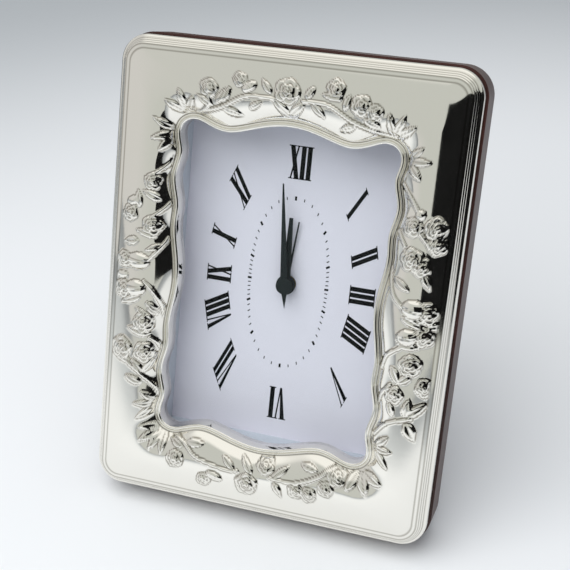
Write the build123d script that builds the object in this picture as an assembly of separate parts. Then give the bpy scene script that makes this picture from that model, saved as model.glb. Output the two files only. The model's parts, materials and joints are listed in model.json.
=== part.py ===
from build123d import *
import os
from math import atan2, cos, hypot, pi, radians, sin

# A silver-fronted picture frame that holds a quartz alarm clock and stands on a hinged strut.
# Frame coordinates, in millimetres: X to the right, Y up the frame, Z out of its face.
# Z = 0 is the seam where the silver meets the wood. The finished clock is tipped back onto the floor.

# Stance
LEAN = 18.0                  # degrees back from upright
FOOT_FLAT = 0.8              # depth planed off the edges that stand on the floor

# Fits
SEAT_GAP = 0.05              # between pieces that sit still against each other
SLIP_GAP = 0.4               # round a loose pane or panel in its rebate
RUN_GAP = 0.05               # radial play of a turning shaft
SIDE_GAP = 0.15              # play beside a sliding piece

# Silver front
FRAME_WIDTH = 144.0
FRAME_HEIGHT = 190.0
CORNER_RADIUS = 11.0
SILVER_SHEET = 0.6
SKIRT_HEIGHT = 5.2           # straight side wall above the seam
BORDER_BEADS = 3             # stepped quarter rounds between skirt and dome
BEAD_WIDTH = 1.8
BEAD_RISE = 1.8
BEAD_STEPS = 3
BEAD_ROUND = 0.9             # share of each step that the quarter round takes
CREST_INSET = 16.0           # from the outer edge to the top of the dome
CREST_RISE = 2.0             # from the border to the top of the dome
BASIN_WIDTH = 7.8            # of the slope from the crest in to the basin's floor, on the side rails
BASIN_END_WIDTH = 10.6       # the same on the top and bottom rails
BASIN_DEPTH = 5.0
BASIN_CURVE = 3              # power of the slope, which is steepest at its foot
BASIN_FLOOR_CORNER = 8.0
DOME_STEPS = 5
DOME_CORNER = 12.0           # corner radius of the dome's top line
LIP_WIDTH = 2.4
LIP_RISE = 0.7
LIP_ROUND = 0.6

# Wavy opening, measured at the lip
OPENING_WIDTH = 89.8
OPENING_HEIGHT = 131.6
OPENING_STEPS = 112          # points that carry the outline when it is grown
# A quarter of the outline, from the crown at the top to the waist at the side,
# as shares of half the width and half the height.
OPENING_QUARTER = [
    (0.0, 1.0), (0.2, 0.983), (0.379, 0.948), (0.568, 0.924), (0.735, 0.953), (0.873, 0.976),
    (0.96, 0.945), (0.987, 0.881), (0.958, 0.783), (1.0, 0.623), (0.958, 0.456), (0.964, 0.327),
    (0.927, 0.137), (0.909, 0.0),
]

# Garland pressed into the dome and the slope. It was drawn on a sheet laid at the seam, so its points
# are drawn in by a scale and moved by a shift to lie on the front.
GARLAND_SHEET = (144.0, 190.0)
GARLAND_SCALE = 0.982
GARLAND_SHIFT = (2.2, 2.0)
GARLAND_ROOT = 1.2           # depth of each form below the sheet's face, trimmed off under the sheet
NORMAL_STEP = 1.0            # distance over which the sheet's tilt is measured
ROSE_RIM = 0.85              # radii and heights of a rose as shares of its radius
ROSE_RIM_HEIGHT = 0.14
ROSE_HEART = 0.55
ROSE_HEART_TOP = 0.35
ROSE_HEART_HEIGHT = 0.26
LEAF_HEIGHT = 0.45
BUD_HEIGHT = 0.8
STEM_RADIUS = 0.7
# Roses: place and radius
ROSES = [
    (-35.0, 77.0, 3.6), (-22.5, 81.5, 2.8), (-3.0, 79.0, 5.0), (16.0, 82.3, 3.6), (26.5, 77.0, 4.0),
    (31.8, 75.0, 3.2), (-56.0, 37.0, 3.6), (-65.0, 23.0, 3.4), (-55.0, 19.0, 4.2), (-66.5, 3.2, 3.5),
    (-66.5, -9.5, 3.8), (-56.0, -22.5, 4.5), (-65.5, -35.0, 4.8), (-55.0, -35.5, 4.5), (-37.5, -79.5, 3.8),
    (-24.0, -86.0, 3.0), (-5.0, -84.0, 4.7), (2.5, -74.5, 3.8), (16.5, -82.5, 3.3), (22.0, -83.0, 3.3),
    (29.0, -79.0, 3.3), (33.0, -73.0, 4.0), (60.5, 34.5, 4.4), (61.8, 28.0, 3.8), (51.5, 34.0, 3.8),
    (52.5, 21.5, 4.5), (56.5, 19.0, 3.8), (61.0, 1.0, 4.4), (61.0, -8.5, 3.9), (57.0, -20.5, 4.4),
    (64.0, -29.0, 3.8), (52.0, -33.5, 3.7),
]
# Leaves: foot, tip and width
LEAVES = [
    (-45.5, 66.0, -53.5, 70.5, 3.4), (-45.0, 67.0, -47.7, 75.5, 3.2), (-44.0, 67.0, -41.3, 73.0, 3.0),
    (-49.0, 58.6, -57.8, 62.8, 3.0), (-49.0, 57.0, -58.3, 54.3, 3.2), (-49.5, 55.5, -54.8, 49.3, 3.0),
    (-31.5, 71.0, -27.8, 77.5, 2.6), (-29.0, 72.0, -26.0, 78.7, 2.4), (-33.0, 70.0, -40.0, 73.5, 3.0),
    (-9.5, 77.5, -13.8, 82.8, 2.8), (-1.5, 69.3, -9.0, 76.0, 3.6), (-1.5, 69.3, 4.5, 75.8, 3.6),
    (4.5, 77.0, 7.6, 82.2, 2.8), (19.0, 78.5, 10.5, 79.6, 3.0), (20.0, 74.5, 21.6, 80.6, 2.6),
    (34.5, 69.3, 27.5, 72.0, 3.2), (39.5, 66.5, 37.2, 75.7, 3.0), (40.0, 66.5, 43.6, 75.5, 3.2),
    (40.5, 66.3, 48.5, 71.7, 3.2), (-29.0, 69.6, -20.3, 67.4, 3.2), (-18.0, 70.5, -13.0, 74.0, 2.6),
    (7.0, 75.6, 12.6, 70.4, 3.0), (25.0, 68.7, 18.4, 66.6, 3.0), (46.8, 59.5, 52.0, 64.0, 2.9),
    (46.5, 58.6, 55.7, 58.8, 3.2), (46.5, 58.0, 52.3, 51.6, 3.2), (-52.0, 29.8, -60.0, 32.8, 3.6),
    (-61.0, 25.8, -62.0, 33.0, 3.0), (-60.5, 12.0, -67.0, 10.8, 3.6), (-50.5, 11.0, -57.2, 8.2, 2.6),
    (-52.5, 14.5, -62.0, 16.5, 3.4), (-58.0, -11.5, -67.0, -15.3, 3.4), (-50.3, -17.3, -55.8, -13.2, 2.6),
    (-50.3, -18.7, -54.8, -16.0, 2.4), (-53.0, -21.0, -59.8, -16.3, 2.8), (-52.8, -27.2, -63.3, -25.6, 4.2),
    (-55.0, -44.3, -60.5, -39.2, 3.2), (-55.0, -44.3, -50.3, -37.3, 3.0), (-60.5, -40.5, -69.0, -38.0, 3.4),
    (-55.3, -49.2, -63.0, -47.0, 3.6), (-48.5, -57.0, -55.8, -52.7, 3.0), (-48.5, -57.8, -58.5, -58.8, 3.2),
    (-48.8, -58.8, -56.7, -65.3, 3.4), (-45.5, -68.0, -55.3, -68.8, 3.4), (-45.5, -68.8, -55.0, -75.0, 3.6),
    (-45.0, -69.0, -50.0, -78.0, 3.6), (-44.0, -69.0, -44.3, -79.0, 3.6), (-34.5, -74.0, -40.8, -71.3, 3.0),
    (-33.2, -71.6, -25.2, -71.0, 3.4), (-11.0, -79.0, -16.7, -73.7, 3.0), (-3.0, -79.5, -8.3, -72.3, 3.2),
    (5.5, -79.5, 12.7, -72.8, 2.8), (6.8, -81.0, 10.7, -86.8, 3.0), (17.3, -71.0, 25.2, -72.4, 3.2),
    (41.0, -69.5, 37.3, -78.0, 4.2), (42.5, -69.5, 45.8, -78.5, 4.6), (43.5, -69.0, 51.8, -72.8, 4.4),
    (57.5, 17.0, 61.2, 10.2, 3.2), (46.4, 13.2, 53.2, 8.8, 3.0), (61.8, -4.6, 68.4, -2.7, 3.2),
    (51.3, -1.6, 61.5, -5.2, 3.6), (51.0, -12.5, 60.0, -13.0, 3.6), (49.5, -22.0, 53.5, -29.0, 3.6),
    (58.0, -24.5, 52.5, -28.8, 3.2), (57.5, -42.0, 58.5, -34.0, 3.8), (57.5, -42.0, 66.0, -35.0, 3.8),
    (52.5, -42.5, 50.0, -36.0, 3.0), (58.0, -44.3, 62.3, -51.3, 5.0), (46.8, -56.5, 52.2, -51.3, 3.0),
    (46.8, -57.2, 54.3, -57.8, 3.0), (46.8, -58.0, 53.2, -65.3, 3.4),
]
# Buds: foot, tip and width
BUDS = [
    (-21.2, 77.3, -15.7, 81.0, 3.6), (-55.0, 3.6, -64.8, 3.2, 7.0), (-64.4, -3.2, -69.6, -3.8, 3.0),
    (-56.0, -7.6, -65.0, -9.0, 7.0), (-23.0, -82.7, -15.8, -84.6, 3.6), (52.8, 37.0, 54.8, 40.8, 3.8),
    (50.8, 2.4, 60.0, 1.6, 7.6), (50.3, -10.2, 58.4, -8.6, 6.8), (-61.5, 29.5, -66.5, 26.8, 3.6),
]
# Stems: the points that each runs through
STEMS = [
    [(-40.5, 66.3), (-29.5, 70.0), (-19.5, 75.4), (-8.0, 75.6)],
    [(3.5, 76.0), (13.5, 75.6), (24.0, 70.3), (36.0, 66.8), (40.5, 66.3)],
    [(-38.0, 67.0), (-34.5, 70.5), (-35.0, 74.0)],
    [(-47.0, 50.5), (-50.5, 44.5), (-55.5, 40.0)],
    [(-47.6, 31.0), (-50.5, 26.5), (-55.0, 22.5)],
    [(-47.3, 18.5), (-50.0, 11.5), (-55.5, 4.5)],
    [(-57.0, -4.8), (-52.5, -9.0), (-49.3, -14.5), (-48.3, -20.0), (-47.2, -25.5)],
    [(-53.0, -28.6), (-50.0, -31.0), (-47.6, -35.5)],
    [(-62.0, -41.0), (-55.0, -45.8), (-50.0, -50.5), (-47.6, -54.5)],
    [(-41.0, -69.3), (-34.0, -72.2), (-28.0, -77.0), (-15.0, -79.7), (-9.5, -79.2)],
    [(5.0, -79.2), (15.0, -79.2), (24.0, -75.5), (31.0, -70.2), (38.5, -68.4)],
    [(45.3, 49.5), (49.5, 44.6), (53.0, 40.0)],
    [(45.8, 31.5), (49.2, 26.2)],
    [(54.5, 32.0), (59.0, 27.3)],
    [(44.3, 17.5), (45.6, 9.5), (48.0, 5.0), (52.0, 1.5)],
    [(52.5, -13.8), (47.3, -18.0), (45.3, -24.0)],
    [(60.0, -42.2), (51.0, -45.5), (45.6, -52.0)],
    [(50.0, -29.5), (46.8, -34.5), (45.4, -39.5)],
]

# Wood frame and what it holds
WOOD_DEPTH = 18.0            # behind the seam
WOOD_PROUD = 0.8             # beyond the silver on each side
WOOD_EDGE = 1.0              # rounding of the back edges
REBATE_WIDTH = 96.0
REBATE_HEIGHT = 138.0
GLASS_FRONT = 0.5
GLASS_THICKNESS = 2.0
DIAL_FACE = -11.3
DIAL_CARD = 0.5
DIAL_PLATE = 3.0
SPACER_WALL = 1.2

# Movement
CASE_WALL = 1.2
CASE_TOP = 29.0              # above the hand axis
CASE_CORNER = 3.0
CELL_DIAMETER = 14.5
CELL_LENGTH = 49.5
CELL_NUB_RADIUS = 2.75
CELL_NUB_LENGTH = 1.0
CELL_BAY_PLAY = 0.9          # across the cell
CELL_SEAT = 0.3              # under the cell
CONTACT_ROOM = 2.4           # beyond each end of the cell
CONTACT_SHEET = 0.3
CONTACT_HEIGHT = 9.0
CONTACT_GAP = 0.1
BAY_WALL_TOP = -11.4         # top of the wall between cell and works
BAY_WALL = 1.0
LUG_REACH = 7.0
LUG_WIDTH = 8.0
LUG_THICKNESS = 1.5
LUG_CORNER = 1.0
WINDOW_GAP = 1.0             # between the movement and the back panel
PIVOT_RADIUS = 0.5
PIVOT_DEPTH = 0.8            # of each pivot hole in its plate

# Wheels: tooth counts and modules
ADDENDUM = 0.75
DEDENDUM = 1.15
TIP_SHARE = 0.09             # half a tooth's share of the pitch, at its tip and at its root
ROOT_SHARE = 0.2
TRAIN_MODULE = 0.25
ROTOR_PINION = 12
INTERMEDIATE_TEETH = 60
INTERMEDIATE_PINION = 10
SECONDS_TEETH = 60
SECONDS_PINION = 8
THIRD_TEETH = 60
THIRD_PINION = 8
CENTRE_TEETH = 64
MINUTE_MODULE = 0.3
CANNON_PINION = 14
MINUTE_TEETH = 42
MINUTE_PINION = 10
HOUR_TEETH = 40
ALARM_MODULE = 0.4
ALARM_TEETH = 32
ALARM_PINION = 28
SET_PINION = 14

# Depth of each layer of wheels behind the inner face of the case front
WHEEL_THICKNESS = 1.0
ALARM_LAYER = 0.4
HOUR_LAYER = 1.8
MINUTE_LAYER = 3.2
CENTRE_LAYER = 4.9
THIRD_LAYER = 6.6
SECONDS_LAYER = 8.3
INTERMEDIATE_LAYER = 10.0

# Directions of the wheel centres from one another, in degrees
THIRD_HEADING = 150.0
SECONDS_HEADING = 75.0
INTERMEDIATE_HEADING = 20.0
ROTOR_HEADING = -10.0
MINUTE_HEADING = -25.0
SET_HEADING = 30.0
ALARM_HEADING = 200.0

# Nested shafts on the hand axis
ARBOR_RADIUS = 0.8
PIPE_WALL = 0.65
BUSH_WALL = 1.3
MINUTE_STUD_RADIUS = 0.7

# Motor
MAGNET_RADIUS = 3.0
MAGNET_THICKNESS = 2.4
MAGNET_LAYER = 5.0
STATOR_GAP = 0.4
STATOR_THICKNESS = 1.0
STATOR_MARGIN = 3.0          # metal round the rotor
COIL_REACH = 11.0            # from rotor to coil axis
COIL_SPAN = 22.0             # over both ends of the core
CORE_WIDTH = 3.0
CORE_THICKNESS = 1.0
LEG_WIDTH = 3.5
BOBBIN_RADIUS = 2.4
FLANGE_RADIUS = 4.2
FLANGE_THICKNESS = 0.6
WINDING_RADIUS = 3.9

# Electronics
BOARD_WIDTH = 11.0
BOARD_HEIGHT = 13.0
BOARD_THICKNESS = 0.8
BOARD_STANDOFF = 3.0
BOARD_MARGIN = 0.6           # from the case wall
CRYSTAL_RADIUS = 1.0
CRYSTAL_LENGTH = 6.0
CHIP_RADIUS = 2.4
CHIP_HEIGHT = 1.1
CHIP_TAPER = 20.0            # degrees
BUZZER_RADIUS = 5.0
BUZZER_THICKNESS = 2.5
BUZZER_DROP = 7.0            # below the board

# Knobs and switch
KNOB_RADIUS = 4.6
KNOB_HEIGHT = 4.0
KNOB_RIBS = 24
KNOB_RIB_DEPTH = 0.35
KNOB_SHAFT_RADIUS = 1.0
KNOB_GAP = 0.5               # between knob and case
SWITCH_X = -19.0
SWITCH_Y = 6.0
SWITCH_TRAVEL = 3.0
SWITCH_WIDTH = 5.0
SWITCH_HEIGHT = 3.2
SWITCH_STEM = 2.0
SWITCH_BUTTON = 1.6
SWITCH_FLANGE = 0.8

# Hands
HAND_THICKNESS = 0.4
ALARM_HAND_LIFT = 1.5        # above the dial
HOUR_HAND_LIFT = 3.0
MINUTE_HAND_LIFT = 5.0
MINUTE_HAND_LENGTH = 42.0
MINUTE_HAND_ROOT = 3.3
MINUTE_HAND_TIP = 0.5
MINUTE_HAND_TAIL = 9.5
MINUTE_HUB_RADIUS = 3.4
MINUTE_HAND_ANGLE = 6.0      # degrees before twelve
HOUR_HAND_LENGTH = 28.0
HOUR_HAND_ROOT = 3.8
HOUR_HAND_TIP = 1.5
HOUR_HUB_RADIUS = 4.0
HOUR_HAND_ANGLE = 0.5
ALARM_HAND_LENGTH = 26.6
ALARM_HAND_ROOT = 1.0
ALARM_HAND_TIP = 0.5
ALARM_HUB_RADIUS = 3.6
ALARM_HAND_ANGLE = -6.0
HUB_COLLAR = 1.0             # height of the boss under a hand
HUB_COLLAR_WALL = 0.6
MINUTE_CAP = 0.4             # closed top of the minute hand's boss

# Strut and hinge
STRUT_OPENING = 32.0         # degrees
STRUT_HEEL = 8.0             # above the hinge pin
STRUT_CLEARANCE = 1.0        # between the swinging heel and the movement
STRUT_THICKNESS = 4.0
STRUT_TOP_WIDTH = 30.0
STRUT_FOOT_WIDTH = 40.0
STRUT_BLANK = 75.0           # length below the pin before the foot is cut
LEAF_LENGTH = 16.0
LEAF_WIDTH = 24.0
LEAF_THICKNESS = 0.8
LEAF_SCREW_DROP = 9.9        # below the pin
KNUCKLE_RADIUS = 1.7
KNUCKLE_GAP = 0.2
KNUCKLE_LIFT = 0.15          # clear of the panel
PIN_RADIUS = 0.8

# Screws and clips
SCREW_RADIUS = 1.0
SCREW_HEAD_RADIUS = 2.0
SCREW_HEAD = 1.0
SCREW_BITE = 2.4             # into the wood or board
SLOT_WIDTH = 0.5
SLOT_DEPTH = 0.3
SLOT_TURN = 30.0             # degrees, where the slots stopped when the screws were driven
CLIP_SCREW_RADIUS = 1.4
CLIP_SCREW_HEAD_RADIUS = 2.8
CLIP_SCREW_HEAD = 1.3
CLIP_SCREW_BITE = 8.0
CLIP_LENGTH = 18.0
CLIP_WIDTH = 7.0
CLIP_THICKNESS = 0.8
CLIP_MARGIN = 5.5            # from the rebate's edge out to the clip's screw
CLIP_HEIGHT = 46.0           # of each clip above and below the middle

# Places worked out from the sizes above
BORDER_WIDTH = BORDER_BEADS * BEAD_WIDTH
BORDER_HEIGHT = SKIRT_HEIGHT + BORDER_BEADS * BEAD_RISE
CREST_HEIGHT = BORDER_HEIGHT + CREST_RISE
BASIN_HEIGHT = CREST_HEIGHT - BASIN_DEPTH
LIP_HEIGHT = BASIN_HEIGHT + LIP_RISE
WOOD_BACK = -WOOD_DEPTH
GLASS_BACK = GLASS_FRONT - GLASS_THICKNESS
PLATE_FRONT = DIAL_FACE - DIAL_CARD
PLATE_BACK = PLATE_FRONT - DIAL_PLATE
CASE_FRONT = PLATE_BACK
CASE_INSIDE = CASE_FRONT - CASE_WALL
CASE_BACK = CASE_INSIDE - CELL_SEAT - CELL_DIAMETER
LID_INSIDE = CASE_BACK + CASE_WALL
CASE_WIDTH = CELL_LENGTH + CELL_NUB_LENGTH + 2 * CONTACT_ROOM + 2 * CASE_WALL
BAY_TOP = BAY_WALL_TOP - BAY_WALL
BAY_HEIGHT = CELL_DIAMETER + CELL_BAY_PLAY
BAY_MIDDLE = BAY_TOP - BAY_HEIGHT / 2
CASE_BOTTOM = BAY_TOP - BAY_HEIGHT - CASE_WALL
CASE_HEIGHT = CASE_TOP - CASE_BOTTOM
CASE_MIDDLE = (CASE_TOP + CASE_BOTTOM) / 2
INNER_WIDTH = CASE_WIDTH - 2 * CASE_WALL
HOUR_BORE = ARBOR_RADIUS + RUN_GAP
HOUR_PIPE_RADIUS = HOUR_BORE + PIPE_WALL
ALARM_BORE = HOUR_PIPE_RADIUS + RUN_GAP
ALARM_PIPE_RADIUS = ALARM_BORE + PIPE_WALL
BUSH_BORE = ALARM_PIPE_RADIUS + RUN_GAP
BUSH_RADIUS = BUSH_BORE + BUSH_WALL
PIN_STANDOFF = KNUCKLE_RADIUS + KNUCKLE_LIFT
HEEL_SWEEP = hypot(STRUT_HEEL, PIN_STANDOFF + STRUT_THICKNESS)
PIN_Y = CASE_BOTTOM - STRUT_CLEARANCE - HEEL_SWEEP
PIN_Z = WOOD_BACK - PIN_STANDOFF
CLIP_X = REBATE_WIDTH / 2 + CLIP_MARGIN


def polar(radius, angle):
    """Point at a distance and an angle in radians."""
    return radius * cos(angle), radius * sin(angle)


def step_from(centre, distance, heading):
    """Point at a distance and a heading in degrees from another point."""
    across, up = polar(distance, radians(heading))
    return centre[0] + across, centre[1] + up


def centre_distance(module, teeth_a, teeth_b):
    """Distance between the axes of two meshed wheels."""
    return module * (teeth_a + teeth_b) / 2


# Axes of the wheels, seen from the front
HAND_AXIS = (0.0, 0.0)
THIRD_AXIS = step_from(HAND_AXIS, centre_distance(TRAIN_MODULE, CENTRE_TEETH, THIRD_PINION), THIRD_HEADING)
SECONDS_AXIS = step_from(
    THIRD_AXIS, centre_distance(TRAIN_MODULE, THIRD_TEETH, SECONDS_PINION), SECONDS_HEADING)
INTERMEDIATE_AXIS = step_from(
    SECONDS_AXIS, centre_distance(TRAIN_MODULE, SECONDS_TEETH, INTERMEDIATE_PINION), INTERMEDIATE_HEADING)
ROTOR_AXIS = step_from(
    INTERMEDIATE_AXIS, centre_distance(TRAIN_MODULE, INTERMEDIATE_TEETH, ROTOR_PINION), ROTOR_HEADING)
MINUTE_DISTANCE = centre_distance(MINUTE_MODULE, CANNON_PINION, MINUTE_TEETH)
HOUR_MODULE = 2 * MINUTE_DISTANCE / (MINUTE_PINION + HOUR_TEETH)
MINUTE_AXIS = step_from(HAND_AXIS, MINUTE_DISTANCE, MINUTE_HEADING)
SET_AXIS = step_from(MINUTE_AXIS, centre_distance(MINUTE_MODULE, MINUTE_TEETH, SET_PINION), SET_HEADING)
ALARM_AXIS = step_from(HAND_AXIS, centre_distance(ALARM_MODULE, ALARM_TEETH, ALARM_PINION), ALARM_HEADING)
TRAIN_AXES = (THIRD_AXIS, SECONDS_AXIS, INTERMEDIATE_AXIS, ROTOR_AXIS)


# Simple solids

def slab(width, height, back, front, x=0.0, y=0.0, radius=0.0):
    """Plate with its broad faces at two depths."""
    outline = RectangleRounded(width, height, radius) if radius else Rectangle(width, height)
    return Pos(x, y, back) * extrude(outline, front - back)


def rod(radius, back, front, centre=HAND_AXIS):
    """Round bar along Z."""
    return Pos(centre[0], centre[1], back) * extrude(Circle(radius), front - back)


def tube(outer, inner, back, front, centre=HAND_AXIS):
    """Round bar along Z with a bore."""
    ring = Circle(outer) - Circle(inner)
    return Pos(centre[0], centre[1], back) * extrude(ring, front - back)


def screw(radius, head_radius, head, bite):
    """Slotted pan-head screw along Z: its head starts at Z = 0 and its shank runs up Z."""
    body = rod(radius, 0, bite) + rod(head_radius, -head, 0)
    slot = Rot(0, 0, SLOT_TURN) * slab(3 * head_radius, SLOT_WIDTH, -head, SLOT_DEPTH - head)
    return body - slot


# Silver front and wood frame

def opening_outline(grow=0.0):
    """Wavy closed outline of the opening, mirrored from its quarter and grown outward by a distance."""
    quarter = [(x * OPENING_WIDTH / 2, y * OPENING_HEIGHT / 2) for x, y in OPENING_QUARTER]
    lower = [(x, -y) for x, y in reversed(quarter)]
    right = quarter[:-1] + lower[:-1]
    left = [(-x, -y) for x, y in right]
    rim = Spline(*right, *left, periodic=True)
    grown = []
    for step in range(OPENING_STEPS):
        share = step / OPENING_STEPS
        point = rim @ share
        along = rim % share
        grown.append((point.X - grow * along.Y, point.Y + grow * along.X))
    return make_face(Spline(*grown, periodic=True))


def section(side, end, height, corner):
    """Rounded rectangle set in from the silver's sides and from its ends, at a height above the seam."""
    outline = RectangleRounded(FRAME_WIDTH - 2 * side, FRAME_HEIGHT - 2 * end, corner)
    return Pos(0, 0, height) * outline


def dome_corner(inset):
    """Corner radius of the dome's level lines, which widen from the border to the crest."""
    border_corner = CORNER_RADIUS - BORDER_WIDTH
    share = (inset - BORDER_WIDTH) / (CREST_INSET - BORDER_WIDTH)
    return border_corner + share * (DOME_CORNER - border_corner)


def dome_height(share):
    """Height of the dome at a share of the way from the border to the crest."""
    return BORDER_HEIGHT + CREST_RISE * (1 - (1 - share) ** 2)


def basin_height(share):
    """Height of the slope at a share of the way from the crest to the basin's floor."""
    return CREST_HEIGHT - BASIN_DEPTH * share ** BASIN_CURVE


def rising_profile():
    """Inset, height and corner radius of each section from the skirt up to the crest."""
    stages = [(0.0, 0.0, CORNER_RADIUS)]
    for bead in range(BORDER_BEADS):
        for step in range(BEAD_STEPS + 1):
            turn = step / BEAD_STEPS * pi / 2
            inset = BEAD_WIDTH * (bead + BEAD_ROUND * (1 - cos(turn)))
            height = SKIRT_HEIGHT + BEAD_RISE * (bead + BEAD_ROUND * sin(turn))
            stages.append((inset, height, CORNER_RADIUS - inset))
    for step in range(DOME_STEPS + 1):
        share = step / DOME_STEPS
        inset = BORDER_WIDTH + share * (CREST_INSET - BORDER_WIDTH)
        stages.append((inset, dome_height(share), dome_corner(inset)))
    return stages


def falling_profile():
    """Side inset, end inset, height and corner radius of each section from the crest to the basin's floor."""
    stages = []
    for step in range(DOME_STEPS + 1):
        share = step / DOME_STEPS
        corner = DOME_CORNER + share * (BASIN_FLOOR_CORNER - DOME_CORNER)
        side = CREST_INSET + share * BASIN_WIDTH
        end = CREST_INSET + share * BASIN_END_WIDTH
        stages.append((side, end, basin_height(share), corner))
    return stages


def front_form(offset):
    """Solid under the silver's face: the sheet's outside at offset 0, its inside at its thickness."""
    sections = [section(offset, offset, 0.0, CORNER_RADIUS)]
    for inset, height, corner in rising_profile()[1:]:
        sections.append(section(inset + offset, inset + offset, height - offset, corner))
    mound = loft(sections, ruled=True)
    sections = []
    for side, end, height, corner in falling_profile():
        sections.append(section(side - offset, end - offset, height - offset, corner))
    return mound - loft(sections, ruled=True)


def lip_plug():
    """Round-edged plug, which the opening is cut through to leave the lip."""
    plug = extrude(opening_outline(LIP_WIDTH), LIP_HEIGHT)
    top_edges = plug.edges().filter_by_position(Axis.Z, LIP_HEIGHT, LIP_HEIGHT)
    return fillet(top_edges, LIP_ROUND)


# Garland

def sheet_height(x, y):
    """Height of the plain sheet's face at a place on the dome or on the slope."""
    side = FRAME_WIDTH / 2 - abs(x)
    end = FRAME_HEIGHT / 2 - abs(y)
    down = min((side - CREST_INSET) / BASIN_WIDTH, (end - CREST_INSET) / BASIN_END_WIDTH)
    if down > 0:
        return basin_height(min(1.0, down))
    up = (min(side, end) - BORDER_WIDTH) / (CREST_INSET - BORDER_WIDTH)
    return dome_height(max(0.0, up))


def on_front(x, y):
    """Place on the front of a point drawn on the garland's sheet."""
    across = (GARLAND_SCALE * x + GARLAND_SHIFT[0]) * FRAME_WIDTH / GARLAND_SHEET[0]
    up = (GARLAND_SCALE * y + GARLAND_SHIFT[1]) * FRAME_HEIGHT / GARLAND_SHEET[1]
    return across, up


def on_sheet(x, y, heading=0.0):
    """Plane that lies on the sheet's face, with its X along a heading in radians."""
    tilt_x = sheet_height(x - NORMAL_STEP, y) - sheet_height(x + NORMAL_STEP, y)
    tilt_y = sheet_height(x, y - NORMAL_STEP) - sheet_height(x, y + NORMAL_STEP)
    outward = Vector(tilt_x, tilt_y, 2 * NORMAL_STEP).normalized()
    level = Vector(cos(heading), sin(heading), 0)
    along = level - outward * level.dot(outward)
    return Plane(origin=(x, y, sheet_height(x, y)), x_dir=along, z_dir=outward)


def rose(place):
    """Open rose: a bevelled disc with a raised heart."""
    x, y, radius = place
    profile = Polyline(
        (0, -GARLAND_ROOT), (radius, -GARLAND_ROOT), (radius, 0),
        (ROSE_RIM * radius, ROSE_RIM_HEIGHT * radius), (ROSE_HEART * radius, ROSE_RIM_HEIGHT * radius),
        (ROSE_HEART_TOP * radius, ROSE_HEART_HEIGHT * radius), (0, ROSE_HEART_HEIGHT * radius), close=True)
    return on_sheet(*on_front(x, y)) * revolve(Plane.XZ * make_face(profile), Axis.Z)


def pointed_form(place, rise):
    """Leaf or bud: a pointed oval between its foot and its tip, raised over the sheet."""
    foot_x, foot_y = on_front(place[0], place[1])
    tip_x, tip_y = on_front(place[2], place[3])
    half_length = hypot(tip_x - foot_x, tip_y - foot_y) / 2
    half_width = place[4] / 2
    upper = ThreePointArc((-half_length, 0), (0, half_width), (half_length, 0))
    lower = ThreePointArc((half_length, 0), (0, -half_width), (-half_length, 0))
    oval = Pos(0, 0, -GARLAND_ROOT) * extrude(make_face([upper, lower]), GARLAND_ROOT + rise)
    heading = atan2(tip_y - foot_y, tip_x - foot_x)
    return on_sheet((foot_x + tip_x) / 2, (foot_y + tip_y) / 2, heading) * oval


def stem(points):
    """Round stem that lies half sunk in the sheet."""
    places = [on_front(x, y) for x, y in points]
    line = Spline(*[(x, y, sheet_height(x, y)) for x, y in places])
    end = Plane(origin=line @ 0, z_dir=line % 0)
    return sweep(end * Circle(STEM_RADIUS), path=line)


def garland():
    """Every rose, leaf, bud and stem."""
    forms = [rose(place) for place in ROSES]
    forms += [pointed_form(place, LEAF_HEIGHT) for place in LEAVES]
    forms += [pointed_form(place, BUD_HEIGHT) for place in BUDS]
    return forms + [stem(points) for points in STEMS]


def make_silver_front():
    sheet = front_form(0.0) + lip_plug()
    sheet = sheet + garland()
    core = front_form(SILVER_SHEET) - extrude(opening_outline(SILVER_SHEET), CREST_HEIGHT)
    sheet = sheet - core - extrude(opening_outline(), 2 * CREST_HEIGHT)
    return sheet - slab(REBATE_WIDTH, REBATE_HEIGHT, 0, GLASS_FRONT + SEAT_GAP)


def make_wood_frame():
    body = slab(FRAME_WIDTH + 2 * WOOD_PROUD, FRAME_HEIGHT + 2 * WOOD_PROUD, WOOD_BACK, 0,
                radius=CORNER_RADIUS + WOOD_PROUD)
    body = fillet(body.faces().sort_by(Axis.Z)[0].edges(), WOOD_EDGE)
    opening = opening_outline(SILVER_SHEET + SEAT_GAP)
    core = front_form(SILVER_SHEET + SEAT_GAP) - extrude(opening, CREST_HEIGHT)
    rebate = slab(REBATE_WIDTH, REBATE_HEIGHT, WOOD_BACK, GLASS_FRONT + SEAT_GAP)
    wood = (body - rebate) + (core - rebate)
    hole_end = WOOD_BACK + CLIP_SCREW_BITE + SEAT_GAP
    for place in clip_places():
        wood = wood - rod(CLIP_SCREW_RADIUS + SEAT_GAP, WOOD_BACK, hole_end, place)
    return wood


# What lies in the rebate

def pane(back, front):
    """Rectangle that fills the rebate with a little play."""
    return slab(REBATE_WIDTH - 2 * SLIP_GAP, REBATE_HEIGHT - 2 * SLIP_GAP, back, front)


def make_spacer_frame():
    inner_width = REBATE_WIDTH - 2 * SLIP_GAP - 2 * SPACER_WALL
    inner_height = REBATE_HEIGHT - 2 * SLIP_GAP - 2 * SPACER_WALL
    return pane(DIAL_FACE, GLASS_BACK) - slab(inner_width, inner_height, DIAL_FACE, GLASS_BACK)


def lug_places():
    """Screw places of the movement's two lugs."""
    reach = CASE_WIDTH / 2 + LUG_REACH / 2
    return [(-reach, 0.0), (reach, 0.0)]


def make_dial():
    return pane(PLATE_FRONT, DIAL_FACE) - rod(BUSH_RADIUS + SEAT_GAP, PLATE_FRONT, DIAL_FACE)


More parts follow.
